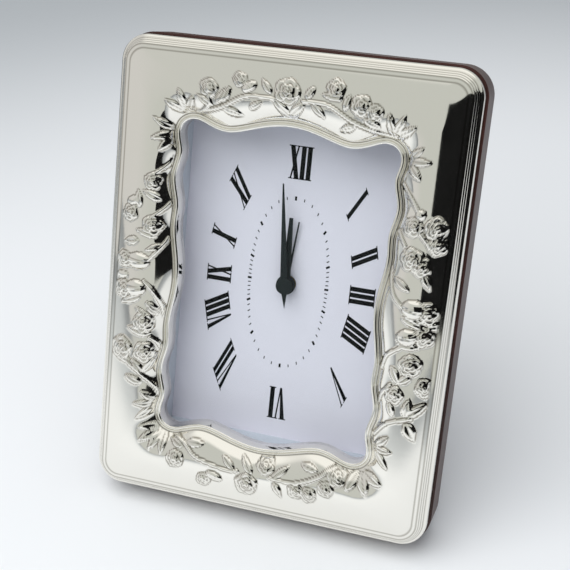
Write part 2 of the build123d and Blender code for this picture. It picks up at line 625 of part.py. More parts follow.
def make_dial_plate():
    plate = pane(PLATE_BACK, PLATE_FRONT) - rod(BUSH_RADIUS + SEAT_GAP, PLATE_BACK, PLATE_FRONT)
    for place in lug_places():
        plate = plate - rod(SCREW_RADIUS + SEAT_GAP, PLATE_BACK, PLATE_BACK + SCREW_BITE, place)
    return plate


def make_back_panel():
    panel = pane(WOOD_BACK, PLATE_BACK)
    window = slab(CASE_WIDTH + 2 * WINDOW_GAP, CASE_HEIGHT + 2 * WINDOW_GAP, WOOD_BACK, PLATE_BACK,
                  y=CASE_MIDDLE, radius=CASE_CORNER)
    notch_width = CASE_WIDTH + 2 * LUG_REACH + 2 * WINDOW_GAP
    notch = slab(notch_width, LUG_WIDTH + 2 * WINDOW_GAP, WOOD_BACK, PLATE_BACK)
    panel = panel - window - notch
    for place in leaf_screw_places():
        panel = panel - rod(SCREW_RADIUS + SEAT_GAP, WOOD_BACK, WOOD_BACK + SCREW_BITE, place)
    return panel


# Turn clips

def clip_places():
    """Screw places of the four clips."""
    return [(side * CLIP_X, row * CLIP_HEIGHT) for row in (1, -1) for side in (-1, 1)]


def make_clip(place):
    """Round-ended tongue that turns on its screw and overlaps the panel."""
    x, y = place
    inward = -1 if x > 0 else 1
    back = WOOD_BACK - SEAT_GAP - CLIP_THICKNESS
    middle = x + inward * (CLIP_LENGTH - CLIP_WIDTH) / 2
    tongue = Pos(middle, y, back) * extrude(SlotOverall(CLIP_LENGTH, CLIP_WIDTH), CLIP_THICKNESS)
    return tongue - rod(CLIP_SCREW_RADIUS + RUN_GAP, back, back + CLIP_THICKNESS, place)


def make_clip_screws():
    seat = WOOD_BACK - CLIP_THICKNESS - 2 * SEAT_GAP
    bite = CLIP_SCREW_BITE + CLIP_THICKNESS + 2 * SEAT_GAP
    one = screw(CLIP_SCREW_RADIUS, CLIP_SCREW_HEAD_RADIUS, CLIP_SCREW_HEAD, bite)
    return Compound([Pos(x, y, seat) * one for x, y in clip_places()])


# Hinge and strut, modelled folded flat and then opened about the pin

def leaf_screw_places():
    """Screw places of a hinge leaf, below the pin."""
    drop = PIN_Y - LEAF_SCREW_DROP
    return [(-LEAF_WIDTH / 4, drop), (LEAF_WIDTH / 4, drop)]


def opened(shape):
    """Turn a folded piece of the strut about the hinge pin to where it stands."""
    about_pin = Pos(0, PIN_Y, PIN_Z) * Rot(STRUT_OPENING, 0, 0) * Pos(0, -PIN_Y, -PIN_Z)
    return about_pin * shape


def knuckle(left, right):
    """Rolled stretch of a leaf round the pin."""
    ring = Circle(KNUCKLE_RADIUS) - Circle(PIN_RADIUS + RUN_GAP)
    return Pos(left, PIN_Y, PIN_Z) * Rot(0, 90, 0) * extrude(ring, right - left)


def leaf(back, front, spans):
    """Hinge leaf that hangs from its knuckles, with two screw holes."""
    plate = slab(LEAF_WIDTH, LEAF_LENGTH, back, front, y=PIN_Y - LEAF_LENGTH / 2)
    for place in leaf_screw_places():
        plate = plate - rod(SCREW_RADIUS + SEAT_GAP, back, front, place)
    clear_bar = slab(LEAF_WIDTH, 2 * (KNUCKLE_RADIUS + KNUCKLE_GAP), back, front, y=PIN_Y)
    plate = plate - clear_bar
    for left, right in spans:
        strap_height = KNUCKLE_RADIUS + KNUCKLE_GAP
        strap_y = PIN_Y - strap_height / 2
        strap = slab(right - left, strap_height, back, front, (left + right) / 2, strap_y)
        bore = Pos(left, PIN_Y, PIN_Z) * Rot(0, 90, 0) * extrude(Circle(PIN_RADIUS + RUN_GAP), right - left)
        plate = plate + (strap + knuckle(left, right) - bore)
    return plate


def knuckle_spans():
    """X spans of the two outer knuckles and of the middle one."""
    third = LEAF_WIDTH / 6
    outer = [(-LEAF_WIDTH / 2, -third - KNUCKLE_GAP / 2), (third + KNUCKLE_GAP / 2, LEAF_WIDTH / 2)]
    return outer, [(-third + KNUCKLE_GAP / 2, third - KNUCKLE_GAP / 2)]


def make_fixed_leaf():
    return leaf(WOOD_BACK - SEAT_GAP - LEAF_THICKNESS, WOOD_BACK - SEAT_GAP, knuckle_spans()[0])


def strut_face():
    """Depth of the folded strut's inner face."""
    return PIN_Z - PIN_STANDOFF


def make_moving_leaf():
    face = strut_face() + SEAT_GAP
    return opened(leaf(face, face + LEAF_THICKNESS, knuckle_spans()[1]))


def make_hinge_pin():
    return Pos(-LEAF_WIDTH / 2, PIN_Y, PIN_Z) * Rot(0, 90, 0) * extrude(Circle(PIN_RADIUS), LEAF_WIDTH)


def make_strut():
    top = PIN_Y + STRUT_HEEL
    foot = PIN_Y - STRUT_BLANK
    outline = make_face(Polyline(
        (-STRUT_TOP_WIDTH / 2, top), (STRUT_TOP_WIDTH / 2, top), (STRUT_FOOT_WIDTH / 2, foot),
        (-STRUT_FOOT_WIDTH / 2, foot), close=True))
    board = Pos(0, 0, strut_face() - STRUT_THICKNESS) * extrude(outline, STRUT_THICKNESS)
    for x, y in leaf_screw_places():
        board = board - rod(SCREW_RADIUS + SEAT_GAP, strut_face() - SCREW_BITE, strut_face(), (x, y))
    board = opened(board)
    stop = slab(2 * STRUT_FOOT_WIDTH, FRAME_HEIGHT, WOOD_BACK - SEAT_GAP, 0)
    return board - stop


def make_panel_screws():
    seat = WOOD_BACK - 2 * SEAT_GAP - LEAF_THICKNESS
    one = screw(SCREW_RADIUS, SCREW_HEAD_RADIUS, SCREW_HEAD / 2, SCREW_BITE + LEAF_THICKNESS)
    return Compound([Pos(x, y, seat) * one for x, y in leaf_screw_places()])


def make_strut_screws():
    seat = strut_face() + 2 * SEAT_GAP + LEAF_THICKNESS
    one = Rot(180, 0, 0) * screw(SCREW_RADIUS, SCREW_HEAD_RADIUS, SCREW_HEAD / 2, SCREW_BITE + LEAF_THICKNESS)
    return opened(Compound([Pos(x, y, seat) * one for x, y in leaf_screw_places()]))


# Movement case

def inside(depth):
    """Z of a depth behind the inner face of the case front."""
    return CASE_INSIDE - depth


def make_movement_case():
    case = slab(CASE_WIDTH, CASE_HEIGHT, CASE_BACK, CASE_FRONT, y=CASE_MIDDLE, radius=CASE_CORNER)
    case = case + slab(CASE_WIDTH + 2 * LUG_REACH, LUG_WIDTH, CASE_FRONT - LUG_THICKNESS, CASE_FRONT,
                       radius=LUG_CORNER)
    works_height = CASE_TOP - CASE_WALL - BAY_WALL_TOP
    works_middle = BAY_WALL_TOP + works_height / 2
    case = case - slab(INNER_WIDTH, works_height, CASE_BACK, CASE_INSIDE, y=works_middle)
    case = case - slab(INNER_WIDTH, BAY_HEIGHT, CASE_BACK, CASE_INSIDE, y=BAY_MIDDLE)
    lid_room = CASE_TOP - BAY_TOP
    case = case - slab(CASE_WIDTH, lid_room, CASE_BACK, LID_INSIDE, y=BAY_TOP + lid_room / 2)
    for place in lug_places():
        case = case - rod(SCREW_RADIUS + SEAT_GAP, CASE_FRONT - LUG_THICKNESS, CASE_FRONT, place)
    case = case - rod(BUSH_RADIUS + SEAT_GAP, CASE_INSIDE, CASE_FRONT)
    for axis in TRAIN_AXES:
        case = case - rod(PIVOT_RADIUS + RUN_GAP, CASE_INSIDE, CASE_INSIDE + PIVOT_DEPTH, axis)
    for axis in (SET_AXIS, ALARM_AXIS):
        case = case - rod(KNOB_SHAFT_RADIUS + RUN_GAP, CASE_INSIDE, CASE_INSIDE + PIVOT_DEPTH, axis)
    stud_end = inside(MINUTE_LAYER + WHEEL_THICKNESS + KNOB_GAP / 2)
    case = case + rod(MINUTE_STUD_RADIUS, stud_end, CASE_INSIDE, MINUTE_AXIS)
    x, y = board_centre()
    for corner in (-1, 1):
        post_y = y + corner * (BOARD_HEIGHT / 2 - CASE_WALL)
        case = case + rod(CASE_WALL, inside(BOARD_STANDOFF), CASE_INSIDE, (x - BOARD_WIDTH / 3, post_y))
    core_x, core_y = coil_centre()
    for end in (-1, 1):
        post_y = core_y + end * (COIL_SPAN - LEG_WIDTH) / 2
        case = case + rod(CASE_WALL, stator_front() + SEAT_GAP, CASE_INSIDE, (core_x, post_y))
    return case


def make_movement_back():
    lid_room = CASE_TOP - BAY_TOP
    lid = slab(CASE_WIDTH, lid_room, CASE_BACK, LID_INSIDE, y=BAY_TOP + lid_room / 2)
    upper = lid.edges().filter_by(Axis.Z).sort_by(Axis.Y)[2:]
    lid = fillet(upper, CASE_CORNER)
    for axis in TRAIN_AXES:
        lid = lid - rod(PIVOT_RADIUS + RUN_GAP, LID_INSIDE - PIVOT_DEPTH, LID_INSIDE, axis)
    lid = lid - rod(ARBOR_RADIUS + RUN_GAP, LID_INSIDE - PIVOT_DEPTH, LID_INSIDE)
    for axis in (SET_AXIS, ALARM_AXIS):
        lid = lid - rod(KNOB_SHAFT_RADIUS + RUN_GAP, CASE_BACK, LID_INSIDE, axis)
    slot_width = SWITCH_STEM + SWITCH_TRAVEL + 2 * SIDE_GAP
    slot_x = SWITCH_X + SWITCH_TRAVEL / 2
    return lid - slab(slot_width, SWITCH_STEM + 2 * SIDE_GAP, CASE_BACK, LID_INSIDE, x=slot_x, y=SWITCH_Y)


def make_centre_bush():
    return tube(BUSH_RADIUS, BUSH_BORE, CASE_INSIDE, DIAL_FACE + SEAT_GAP)


def make_movement_screws():
    seat = CASE_FRONT - LUG_THICKNESS - SEAT_GAP
    one = screw(SCREW_RADIUS, SCREW_HEAD_RADIUS, SCREW_HEAD, SCREW_BITE + LUG_THICKNESS)
    return Compound([Pos(x, y, seat) * one for x, y in lug_places()])


# Cell and its contacts

def cell_z():
    """Depth of the cell's axis."""
    return CASE_BACK + CELL_DIAMETER / 2


def make_battery():
    start = -(CELL_LENGTH + CELL_NUB_LENGTH) / 2
    can = extrude(Circle(CELL_DIAMETER / 2), CELL_LENGTH)
    nub = Pos(0, 0, CELL_LENGTH) * extrude(Circle(CELL_NUB_RADIUS), CELL_NUB_LENGTH)
    return Pos(start, BAY_MIDDLE, cell_z()) * Rot(0, 90, 0) * (can + nub)


def make_contact(side):
    """Folded strip: one leg on the bay's end wall, one against the cell, joined at the bay's floor."""
    wall_x = INNER_WIDTH / 2 - SEAT_GAP - CONTACT_SHEET / 2
    cell_x = (CELL_LENGTH + CELL_NUB_LENGTH) / 2 + CONTACT_GAP + CONTACT_SHEET / 2
    floor = CASE_INSIDE - SEAT_GAP
    high = cell_z() - CELL_DIAMETER / 4
    legs = [slab(CONTACT_SHEET, CONTACT_HEIGHT, high, floor, side * x, BAY_MIDDLE) for x in (wall_x, cell_x)]
    base = slab(wall_x - cell_x + CONTACT_SHEET, CONTACT_HEIGHT, floor - CONTACT_SHEET, floor,
                x=side * (wall_x + cell_x) / 2, y=BAY_MIDDLE)
    return legs[0] + legs[1] + base


# Electronics and motor

def board_centre():
    """Middle of the circuit board, in the upper left corner of the case."""
    x = -INNER_WIDTH / 2 + BOARD_MARGIN + BOARD_WIDTH / 2
    y = CASE_TOP - CASE_WALL - BOARD_MARGIN - BOARD_HEIGHT / 2
    return x, y


def make_circuit_board():
    x, y = board_centre()
    front = inside(BOARD_STANDOFF) - SEAT_GAP
    return slab(BOARD_WIDTH, BOARD_HEIGHT, front - BOARD_THICKNESS, front, x, y)


def board_back():
    return inside(BOARD_STANDOFF) - SEAT_GAP - BOARD_THICKNESS


def make_crystal():
    x, y = board_centre()
    z = board_back() - SEAT_GAP - CRYSTAL_RADIUS
    can = Rot(0, 90, 0) * extrude(Circle(CRYSTAL_RADIUS), CRYSTAL_LENGTH)
    return Pos(x - CRYSTAL_LENGTH / 2, y + BOARD_HEIGHT / 4, z) * can


def make_chip_cover():
    x, y = board_centre()
    blob = extrude(Circle(CHIP_RADIUS), CHIP_HEIGHT, taper=CHIP_TAPER)
    return Pos(x, y - BOARD_HEIGHT / 5, board_back() - SEAT_GAP) * Rot(180, 0, 0) * blob


def make_buzzer():
    x, y = board_centre()
    centre = (x, y - BOARD_HEIGHT / 2 - BUZZER_DROP)
    return rod(BUZZER_RADIUS, inside(BUZZER_THICKNESS), CASE_INSIDE - SEAT_GAP, centre)


def stator_front():
    """Depth of the stator's front face, level with the middle of the magnet."""
    return inside(MAGNET_LAYER + (MAGNET_THICKNESS - STATOR_THICKNESS) / 2)


def coil_centre():
    return ROTOR_AXIS[0] + COIL_REACH, ROTOR_AXIS[1]


def make_stator():
    """Iron plate: a strip beside the rotor's round hole, with a leg to each end of the coil."""
    x, y = ROTOR_AXIS
    hole = MAGNET_RADIUS + STATOR_GAP
    coil_x = coil_centre()[0]
    right = coil_x - FLANGE_RADIUS - STATOR_GAP
    left = x - hole - STATOR_MARGIN / 2
    yoke = Pos((left + right) / 2, y) * Rectangle(right - left, 2 * hole + STATOR_MARGIN)
    strip = Pos(right - LEG_WIDTH / 2, y) * Rectangle(LEG_WIDTH, COIL_SPAN)
    plate = yoke + strip
    leg_end = coil_x + CORE_WIDTH / 2
    for end in (-1, 1):
        leg_y = y + end * (COIL_SPAN - LEG_WIDTH) / 2
        plate = plate + Pos((right + leg_end) / 2, leg_y) * Rectangle(leg_end - right, LEG_WIDTH)
    plate = plate - Pos(x, y) * Circle(hole)
    return Pos(0, 0, stator_front() - STATOR_THICKNESS) * extrude(plate, STATOR_THICKNESS)


def core_z():
    """Depth of the middle of the coil core, which lies on the stator's legs."""
    return stator_front() - STATOR_THICKNESS - SEAT_GAP - CORE_THICKNESS / 2


def make_coil_core():
    x, y = coil_centre()
    half = CORE_THICKNESS / 2
    return slab(CORE_WIDTH, COIL_SPAN, core_z() - half, core_z() + half, x, y)


def along_coil(face, start, length):
    """Extrude a section along the coil's axis, from a distance above the coil's middle."""
    x, y = coil_centre()
    return Pos(x, y + start, core_z()) * Rot(-90, 0, 0) * extrude(face, length)


def coil_length():
    """Room between the stator's legs."""
    return COIL_SPAN - 2 * LEG_WIDTH - 2 * SIDE_GAP


def make_coil_bobbin():
    hole = Rectangle(CORE_WIDTH + 2 * SEAT_GAP, CORE_THICKNESS + 2 * SEAT_GAP)
    start = -coil_length() / 2
    bobbin = along_coil(Circle(BOBBIN_RADIUS) - hole, start, coil_length())
    flange = Circle(FLANGE_RADIUS) - hole
    bobbin = bobbin + along_coil(flange, start, FLANGE_THICKNESS)
    return bobbin + along_coil(flange, -start - FLANGE_THICKNESS, FLANGE_THICKNESS)


def make_coil_winding():
    ring = Circle(WINDING_RADIUS) - Circle(BOBBIN_RADIUS + SEAT_GAP)
    length = coil_length() - 2 * FLANGE_THICKNESS - 2 * SEAT_GAP
    return along_coil(ring, -length / 2, length)


# Wheels

def gear(teeth, module, phase, depth, thickness, centre):
    """Toothed disc at a depth in the case; phase is the direction of its first tooth, in radians."""
    pitch = 2 * pi / teeth
    tip = module * (teeth / 2 + ADDENDUM)
    root = module * (teeth / 2 - DEDENDUM)
    corners = []
    for tooth in range(teeth):
        middle = phase + tooth * pitch
        for radius, share in ((root, -ROOT_SHARE), (tip, -TIP_SHARE), (tip, TIP_SHARE), (root, ROOT_SHARE)):
            corners.append(polar(radius, middle + share * pitch))
    outline = make_face(Polyline(*corners, close=True))
    return Pos(centre[0], centre[1], inside(depth + thickness)) * extrude(outline, thickness)


def mesh_phase(driver_teeth, driver_phase, driver_axis, driven_teeth, driven_axis):
    """Phase that turns a gap of the driven wheel to meet a tooth of its driver."""
    heading = atan2(driven_axis[1] - driver_axis[1], driven_axis[0] - driver_axis[0])
    return heading + pi - driver_teeth / driven_teeth * (driver_phase - heading) - pi / driven_teeth


def train_arbor(axis):
    """Steel arbor with a pivot in each plate."""
    play = RUN_GAP
    back = LID_INSIDE - PIVOT_DEPTH + play
    return rod(PIVOT_RADIUS, back, CASE_INSIDE + PIVOT_DEPTH - play, axis)


def train_wheel(axis, wheel, wheel_phase, layer, pinion, pinion_layer):
    """Wheel and pinion on one arbor; the pinion stands in front of its wheel."""
    disc = gear(wheel, TRAIN_MODULE, wheel_phase, layer, WHEEL_THICKNESS, axis)
    leaves = gear(pinion, TRAIN_MODULE, 0.0, pinion_layer, layer - pinion_layer, axis)
    return disc + leaves + train_arbor(axis)


def make_rotor():
    magnet = rod(MAGNET_RADIUS, inside(MAGNET_LAYER + MAGNET_THICKNESS), inside(MAGNET_LAYER), ROTOR_AXIS)
    pinion = gear(ROTOR_PINION, TRAIN_MODULE, 0.0, INTERMEDIATE_LAYER, WHEEL_THICKNESS, ROTOR_AXIS)
    return magnet + pinion + train_arbor(ROTOR_AXIS)


def make_intermediate_wheel():
    phase = mesh_phase(ROTOR_PINION, 0.0, ROTOR_AXIS, INTERMEDIATE_TEETH, INTERMEDIATE_AXIS)
    return train_wheel(INTERMEDIATE_AXIS, INTERMEDIATE_TEETH, phase, INTERMEDIATE_LAYER,
                       INTERMEDIATE_PINION, SECONDS_LAYER)


def make_seconds_wheel():
    phase = mesh_phase(INTERMEDIATE_PINION, 0.0, INTERMEDIATE_AXIS, SECONDS_TEETH, SECONDS_AXIS)
    return train_wheel(SECONDS_AXIS, SECONDS_TEETH, phase, SECONDS_LAYER, SECONDS_PINION, THIRD_LAYER)


def make_third_wheel():
    phase = mesh_phase(SECONDS_PINION, 0.0, SECONDS_AXIS, THIRD_TEETH, THIRD_AXIS)
    return train_wheel(THIRD_AXIS, THIRD_TEETH, phase, THIRD_LAYER, THIRD_PINION, CENTRE_LAYER)


def make_centre_wheel():
    """Wheel that turns the minute arbor through a friction clutch, so that the hands can be set."""
    phase = mesh_phase(THIRD_PINION, 0.0, THIRD_AXIS, CENTRE_TEETH, HAND_AXIS)
    disc = gear(CENTRE_TEETH, TRAIN_MODULE, phase, CENTRE_LAYER, WHEEL_THICKNESS, HAND_AXIS)
    return disc - rod(ARBOR_RADIUS + RUN_GAP, CASE_BACK, CASE_FRONT)


def make_minute_arbor():
    pinion = gear(CANNON_PINION, MINUTE_MODULE, 0.0, MINUTE_LAYER, WHEEL_THICKNESS, HAND_AXIS)
    back = LID_INSIDE - PIVOT_DEPTH + RUN_GAP
    return pinion + rod(ARBOR_RADIUS, back, hand_z(MINUTE_HAND_LIFT) + HAND_THICKNESS - SEAT_GAP)


def minute_phase():
    return mesh_phase(CANNON_PINION, 0.0, HAND_AXIS, MINUTE_TEETH, MINUTE_AXIS)


def make_minute_wheel():
    disc = gear(MINUTE_TEETH, MINUTE_MODULE, minute_phase(), MINUTE_LAYER, WHEEL_THICKNESS, MINUTE_AXIS)
    pinion = gear(MINUTE_PINION, HOUR_MODULE, 0.0, HOUR_LAYER, MINUTE_LAYER - HOUR_LAYER, MINUTE_AXIS)
    return disc + pinion - rod(MINUTE_STUD_RADIUS + RUN_GAP, CASE_BACK, CASE_FRONT, MINUTE_AXIS)


def make_hour_wheel():
    phase = mesh_phase(MINUTE_PINION, 0.0, MINUTE_AXIS, HOUR_TEETH, HAND_AXIS)
    disc = gear(HOUR_TEETH, HOUR_MODULE, phase, HOUR_LAYER, WHEEL_THICKNESS, HAND_AXIS)
    pipe = rod(HOUR_PIPE_RADIUS, inside(HOUR_LAYER), hand_z(HOUR_HAND_LIFT) + HAND_THICKNESS)
    return disc + pipe - rod(HOUR_BORE, CASE_BACK, 0)


def make_alarm_wheel():
    disc = gear(ALARM_TEETH, ALARM_MODULE, 0.0, ALARM_LAYER, WHEEL_THICKNESS, HAND_AXIS)
    pipe = rod(ALARM_PIPE_RADIUS, inside(ALARM_LAYER), hand_z(ALARM_HAND_LIFT) + HAND_THICKNESS)
    return disc + pipe - rod(ALARM_BORE, CASE_BACK, 0)


# Knobs and switch

def knob(axis, shaft_start):
    """Ribbed knob behind the case on a shaft that starts at a depth inside it."""
    pitch = pi / KNOB_RIBS
    rims = (KNOB_RADIUS, KNOB_RADIUS - KNOB_RIB_DEPTH)
    corners = [polar(rims[point % 2], point * pitch) for point in range(2 * KNOB_RIBS)]
    back = CASE_BACK - KNOB_GAP - KNOB_HEIGHT
    grip = Pos(axis[0], axis[1], back) * extrude(make_face(Polyline(*corners, close=True)), KNOB_HEIGHT)
    return grip + rod(KNOB_SHAFT_RADIUS, back, shaft_start, axis)


def make_set_knob():
    phase = mesh_phase(MINUTE_TEETH, minute_phase(), MINUTE_AXIS, SET_PINION, SET_AXIS)
    pinion = gear(SET_PINION, MINUTE_MODULE, phase, MINUTE_LAYER, WHEEL_THICKNESS, SET_AXIS)
    return pinion + knob(SET_AXIS, CASE_INSIDE + PIVOT_DEPTH - RUN_GAP)


def make_alarm_knob():
    phase = mesh_phase(ALARM_TEETH, 0.0, HAND_AXIS, ALARM_PINION, ALARM_AXIS)
    pinion = gear(ALARM_PINION, ALARM_MODULE, phase, ALARM_LAYER, WHEEL_THICKNESS, ALARM_AXIS)
    return pinion + knob(ALARM_AXIS, CASE_INSIDE + PIVOT_DEPTH - RUN_GAP)


def make_alarm_switch():
    """Slide button outside the case back, on a stem through its slot to a flange inside."""
    back = CASE_BACK - SIDE_GAP
    front = LID_INSIDE + SIDE_GAP
    button = slab(SWITCH_WIDTH, SWITCH_HEIGHT, back - SWITCH_BUTTON, back, SWITCH_X, SWITCH_Y)
    stem = slab(SWITCH_STEM, SWITCH_STEM, back, front, SWITCH_X, SWITCH_Y)
    flange = slab(SWITCH_WIDTH, SWITCH_HEIGHT, front, front + SWITCH_FLANGE, SWITCH_X, SWITCH_Y)
    return button + stem + flange


# Hands

def hand_z(lift):
    """Depth of a hand's back face."""
    return DIAL_FACE + lift


def hand(blade, hub_radius, bore, lift, angle):
    """Flat blade with a round hub and a short boss under it, on a shaft of the bore's radius."""
    z = hand_z(lift)
    plate = Pos(0, 0, z) * extrude(blade + Circle(hub_radius), HAND_THICKNESS)
    boss = rod(bore + HUB_COLLAR_WALL, z - HUB_COLLAR, z)
    return Rot(0, 0, angle) * (plate + boss - rod(bore, z - HUB_COLLAR, z + HAND_THICKNESS))


def tapered(root, tip, length):
    """Blade that narrows from the axis to a blunt tip."""
    return make_face(Polyline(
        (-root / 2, 0), (-tip / 2, length), (tip / 2, length), (root / 2, 0), close=True))


def make_minute_hand():
    tail = make_face(Polyline(
        (-MINUTE_HAND_ROOT / 2, 0), (0, -MINUTE_HAND_TAIL), (MINUTE_HAND_ROOT / 2, 0), close=True))
    blade = tapered(MINUTE_HAND_ROOT, MINUTE_HAND_TIP, MINUTE_HAND_LENGTH) + tail
    pointer = hand(blade, MINUTE_HUB_RADIUS, ARBOR_RADIUS + SEAT_GAP, MINUTE_HAND_LIFT, MINUTE_HAND_ANGLE)
    top = hand_z(MINUTE_HAND_LIFT) + HAND_THICKNESS
    return pointer + rod(MINUTE_HUB_RADIUS, top, top + MINUTE_CAP)


def make_hour_hand():
    blade = tapered(HOUR_HAND_ROOT, HOUR_HAND_TIP, HOUR_HAND_LENGTH)
    return hand(blade, HOUR_HUB_RADIUS, HOUR_PIPE_RADIUS + SEAT_GAP, HOUR_HAND_LIFT, HOUR_HAND_ANGLE)


def make_alarm_hand():
    blade = tapered(ALARM_HAND_ROOT, ALARM_HAND_TIP, ALARM_HAND_LENGTH)
    return hand(blade, ALARM_HUB_RADIUS, ALARM_PIPE_RADIUS + SEAT_GAP, ALARM_HAND_LIFT, ALARM_HAND_ANGLE)


# Assembly

def make_nodes():
    """Every piece in frame coordinates, by name."""
    clip_names = ("clip_top_left", "clip_top_right", "clip_bottom_left", "clip_bottom_right")
    nodes = {
        "silver_front": make_silver_front(),
        "wood_frame": make_wood_frame(),
        "glass_pane": pane(GLASS_BACK, GLASS_FRONT),
        "spacer_frame": make_spacer_frame(),
        "dial": make_dial(),
        "dial_plate": make_dial_plate(),
        "back_panel": make_back_panel(),
        "clip_screws": make_clip_screws(),
        "fixed_leaf": make_fixed_leaf(),
        "moving_leaf": make_moving_leaf(),
        "hinge_pin": make_hinge_pin(),
        "strut": make_strut(),
        "panel_screws": make_panel_screws(),
        "strut_screws": make_strut_screws(),
        "movement_case": make_movement_case(),
        "movement_back": make_movement_back(),
        "centre_bush": make_centre_bush(),
        "movement_screws": make_movement_screws(),
        "battery": make_battery(),
        "contact_left": make_contact(-1),
        "contact_right": make_contact(1),
        "circuit_board": make_circuit_board(),
        "crystal": make_crystal(),
        "chip_cover": make_chip_cover(),
        "buzzer": make_buzzer(),
        "stator": make_stator(),
        "coil_core": make_coil_core(),
        "coil_bobbin": make_coil_bobbin(),
        "coil_winding": make_coil_winding(),
        "rotor": make_rotor(),
        "intermediate_wheel": make_intermediate_wheel(),
        "seconds_wheel": make_seconds_wheel(),
        "third_wheel": make_third_wheel(),
        "centre_wheel": make_centre_wheel(),
        "minute_arbor": make_minute_arbor(),
        "minute_wheel": make_minute_wheel(),
        "hour_wheel": make_hour_wheel(),
        "alarm_wheel": make_alarm_wheel(),
        "set_knob": make_set_knob(),
        "alarm_knob": make_alarm_knob(),
        "alarm_switch": make_alarm_switch(),
        "minute_hand": make_minute_hand(),
        "hour_hand": make_hour_hand(),
        "alarm_hand": make_alarm_hand(),
    }
    for name, place in zip(clip_names, clip_places()):
        nodes[name] = make_clip(place)
    return nodes


def stand_up(nodes):
    """Tip every piece back, plane the standing edges to the floor and centre the clock over the origin."""
    lowest = (FRAME_HEIGHT / 2 + WOOD_PROUD) * cos(radians(LEAN)) + WOOD_DEPTH * sin(radians(LEAN))
    tip_back = Pos(0, 0, lowest - FOOT_FLAT) * Rot(90 - LEAN, 0, 0)
    tipped = {name: tip_back * shape for name, shape in nodes.items()}
    reach = 2 * FRAME_HEIGHT
    floor = Pos(0, 0, -reach / 2) * Box(reach, reach, reach)
    for name in ("wood_frame", "strut"):
        tipped[name] = tipped[name] - floor
    box = Compound(list(tipped.values())).bounding_box()
    middle = (box.min.Y + box.max.Y) / 2
    return {name: Pos(0, -middle, 0) * shape for name, shape in tipped.items()}


def main():
    os.makedirs("parts", exist_ok=True)
    for name, shape in stand_up(make_nodes()).items():
        export_step(shape, f"parts/{name}.step")


if __name__ == "__main__":
    main()
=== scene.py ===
"""Looks of the photo frame clock: pressed silver front, printed dial, wood, glass and works."""

import json
import math

import bpy
import numpy as np
from bpy.props import FloatProperty, FloatVectorProperty, IntProperty, PointerProperty
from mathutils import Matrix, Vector


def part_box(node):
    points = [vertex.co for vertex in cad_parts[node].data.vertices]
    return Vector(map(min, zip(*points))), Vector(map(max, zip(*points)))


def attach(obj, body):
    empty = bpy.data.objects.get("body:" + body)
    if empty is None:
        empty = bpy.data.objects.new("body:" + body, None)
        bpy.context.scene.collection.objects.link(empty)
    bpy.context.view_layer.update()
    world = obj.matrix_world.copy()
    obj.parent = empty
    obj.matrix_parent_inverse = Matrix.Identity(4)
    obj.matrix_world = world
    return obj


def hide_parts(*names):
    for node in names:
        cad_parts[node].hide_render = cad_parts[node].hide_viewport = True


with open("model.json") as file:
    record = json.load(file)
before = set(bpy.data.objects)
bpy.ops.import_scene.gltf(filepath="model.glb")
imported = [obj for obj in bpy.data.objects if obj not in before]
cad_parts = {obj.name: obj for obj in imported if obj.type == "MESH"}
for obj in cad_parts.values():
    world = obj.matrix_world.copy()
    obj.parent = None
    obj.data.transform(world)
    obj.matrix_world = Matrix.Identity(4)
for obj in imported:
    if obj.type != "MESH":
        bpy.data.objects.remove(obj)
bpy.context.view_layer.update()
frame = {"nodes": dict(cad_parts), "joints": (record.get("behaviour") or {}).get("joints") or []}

bl_info = {
    "name": "Photo frame clock",
    "version": (1, 0, 0),
    "blender": (4, 5, 0),
    "location": "3D View > Sidebar > Clock",
    "description": "Presses the silver front, prints the dial and finishes the pieces of a photo frame clock",
    "category": "Object",
}

# The face has its own axes in millimetres: x to the right, y up the leaning frame, z out of it.
# Its origin lies on the axis of the hands, on the seam between silver and wood.
MM = 0.001
DIAL_FACE = -11.3
HAND_JOINT = next(joint for joint in frame["joints"] if joint["name"] == "minute_turn")
OUTWARD = Vector(HAND_JOINT["axis"])
RIGHTWARD = Vector((1.0, 0.0, 0.0))
UPWARD = OUTWARD.cross(RIGHTWARD)
SEAM = Vector(HAND_JOINT["pos_m"]) - OUTWARD * DIAL_FACE * MM
FACE_AXES = np.array([RIGHTWARD, UPWARD, OUTWARD])

# Silver front.
HALF_WIDTH = 72.0
HALF_HEIGHT = 95.0
OUTER_CORNER = 11.0
SKIRT_HEIGHT = 5.2
BORDER_WIDTH = 5.4
CREST_INSET = 16.0
CREST_CORNER = 12.0
CREST_RISE = 2.0
BASIN_DEPTH = 5.0
BASIN_CURVE = 3
LIP_WIDTH = 1.6
LIP_BEAD_WIDTH = 0.8
LIP_RISE = 0.7
LIP_ROUND = 0.8
SHEET = 0.6
WALL_FOOT = 0.55
BORDER_HEIGHT = SKIRT_HEIGHT + BORDER_WIDTH
CREST_HEIGHT = BORDER_HEIGHT + CREST_RISE
FOOT_HEIGHT = CREST_HEIGHT - BASIN_DEPTH
FOOT_GROW = LIP_WIDTH + LIP_BEAD_WIDTH
LIP_HEIGHT = FOOT_HEIGHT + LIP_RISE

# Border mouldings from the skirt in: inset and height above the skirt of each start, its bulge and its rings.
# A broad roll and three reeds climb to a flat ledge that ends at the dome.
BORDER_MOULDINGS = (
    (0.0, 0.0, 0.45, 5),
    (1.6, 2.0, 0.24, 3),
    (2.3, 3.0, 0.24, 3),
    (3.0, 4.0, 0.24, 3),
    (3.7, 5.0, 0.0, 3),
    (5.4, 5.4, 0.0, 0),
)

# Bead round the foot of the lip: shares of its width out from the lip, and heights above the slope's foot.
LIP_BEAD = ((0.85, 0.3), (0.6, 0.42), (0.3, 0.3), (0.1, 0.0))

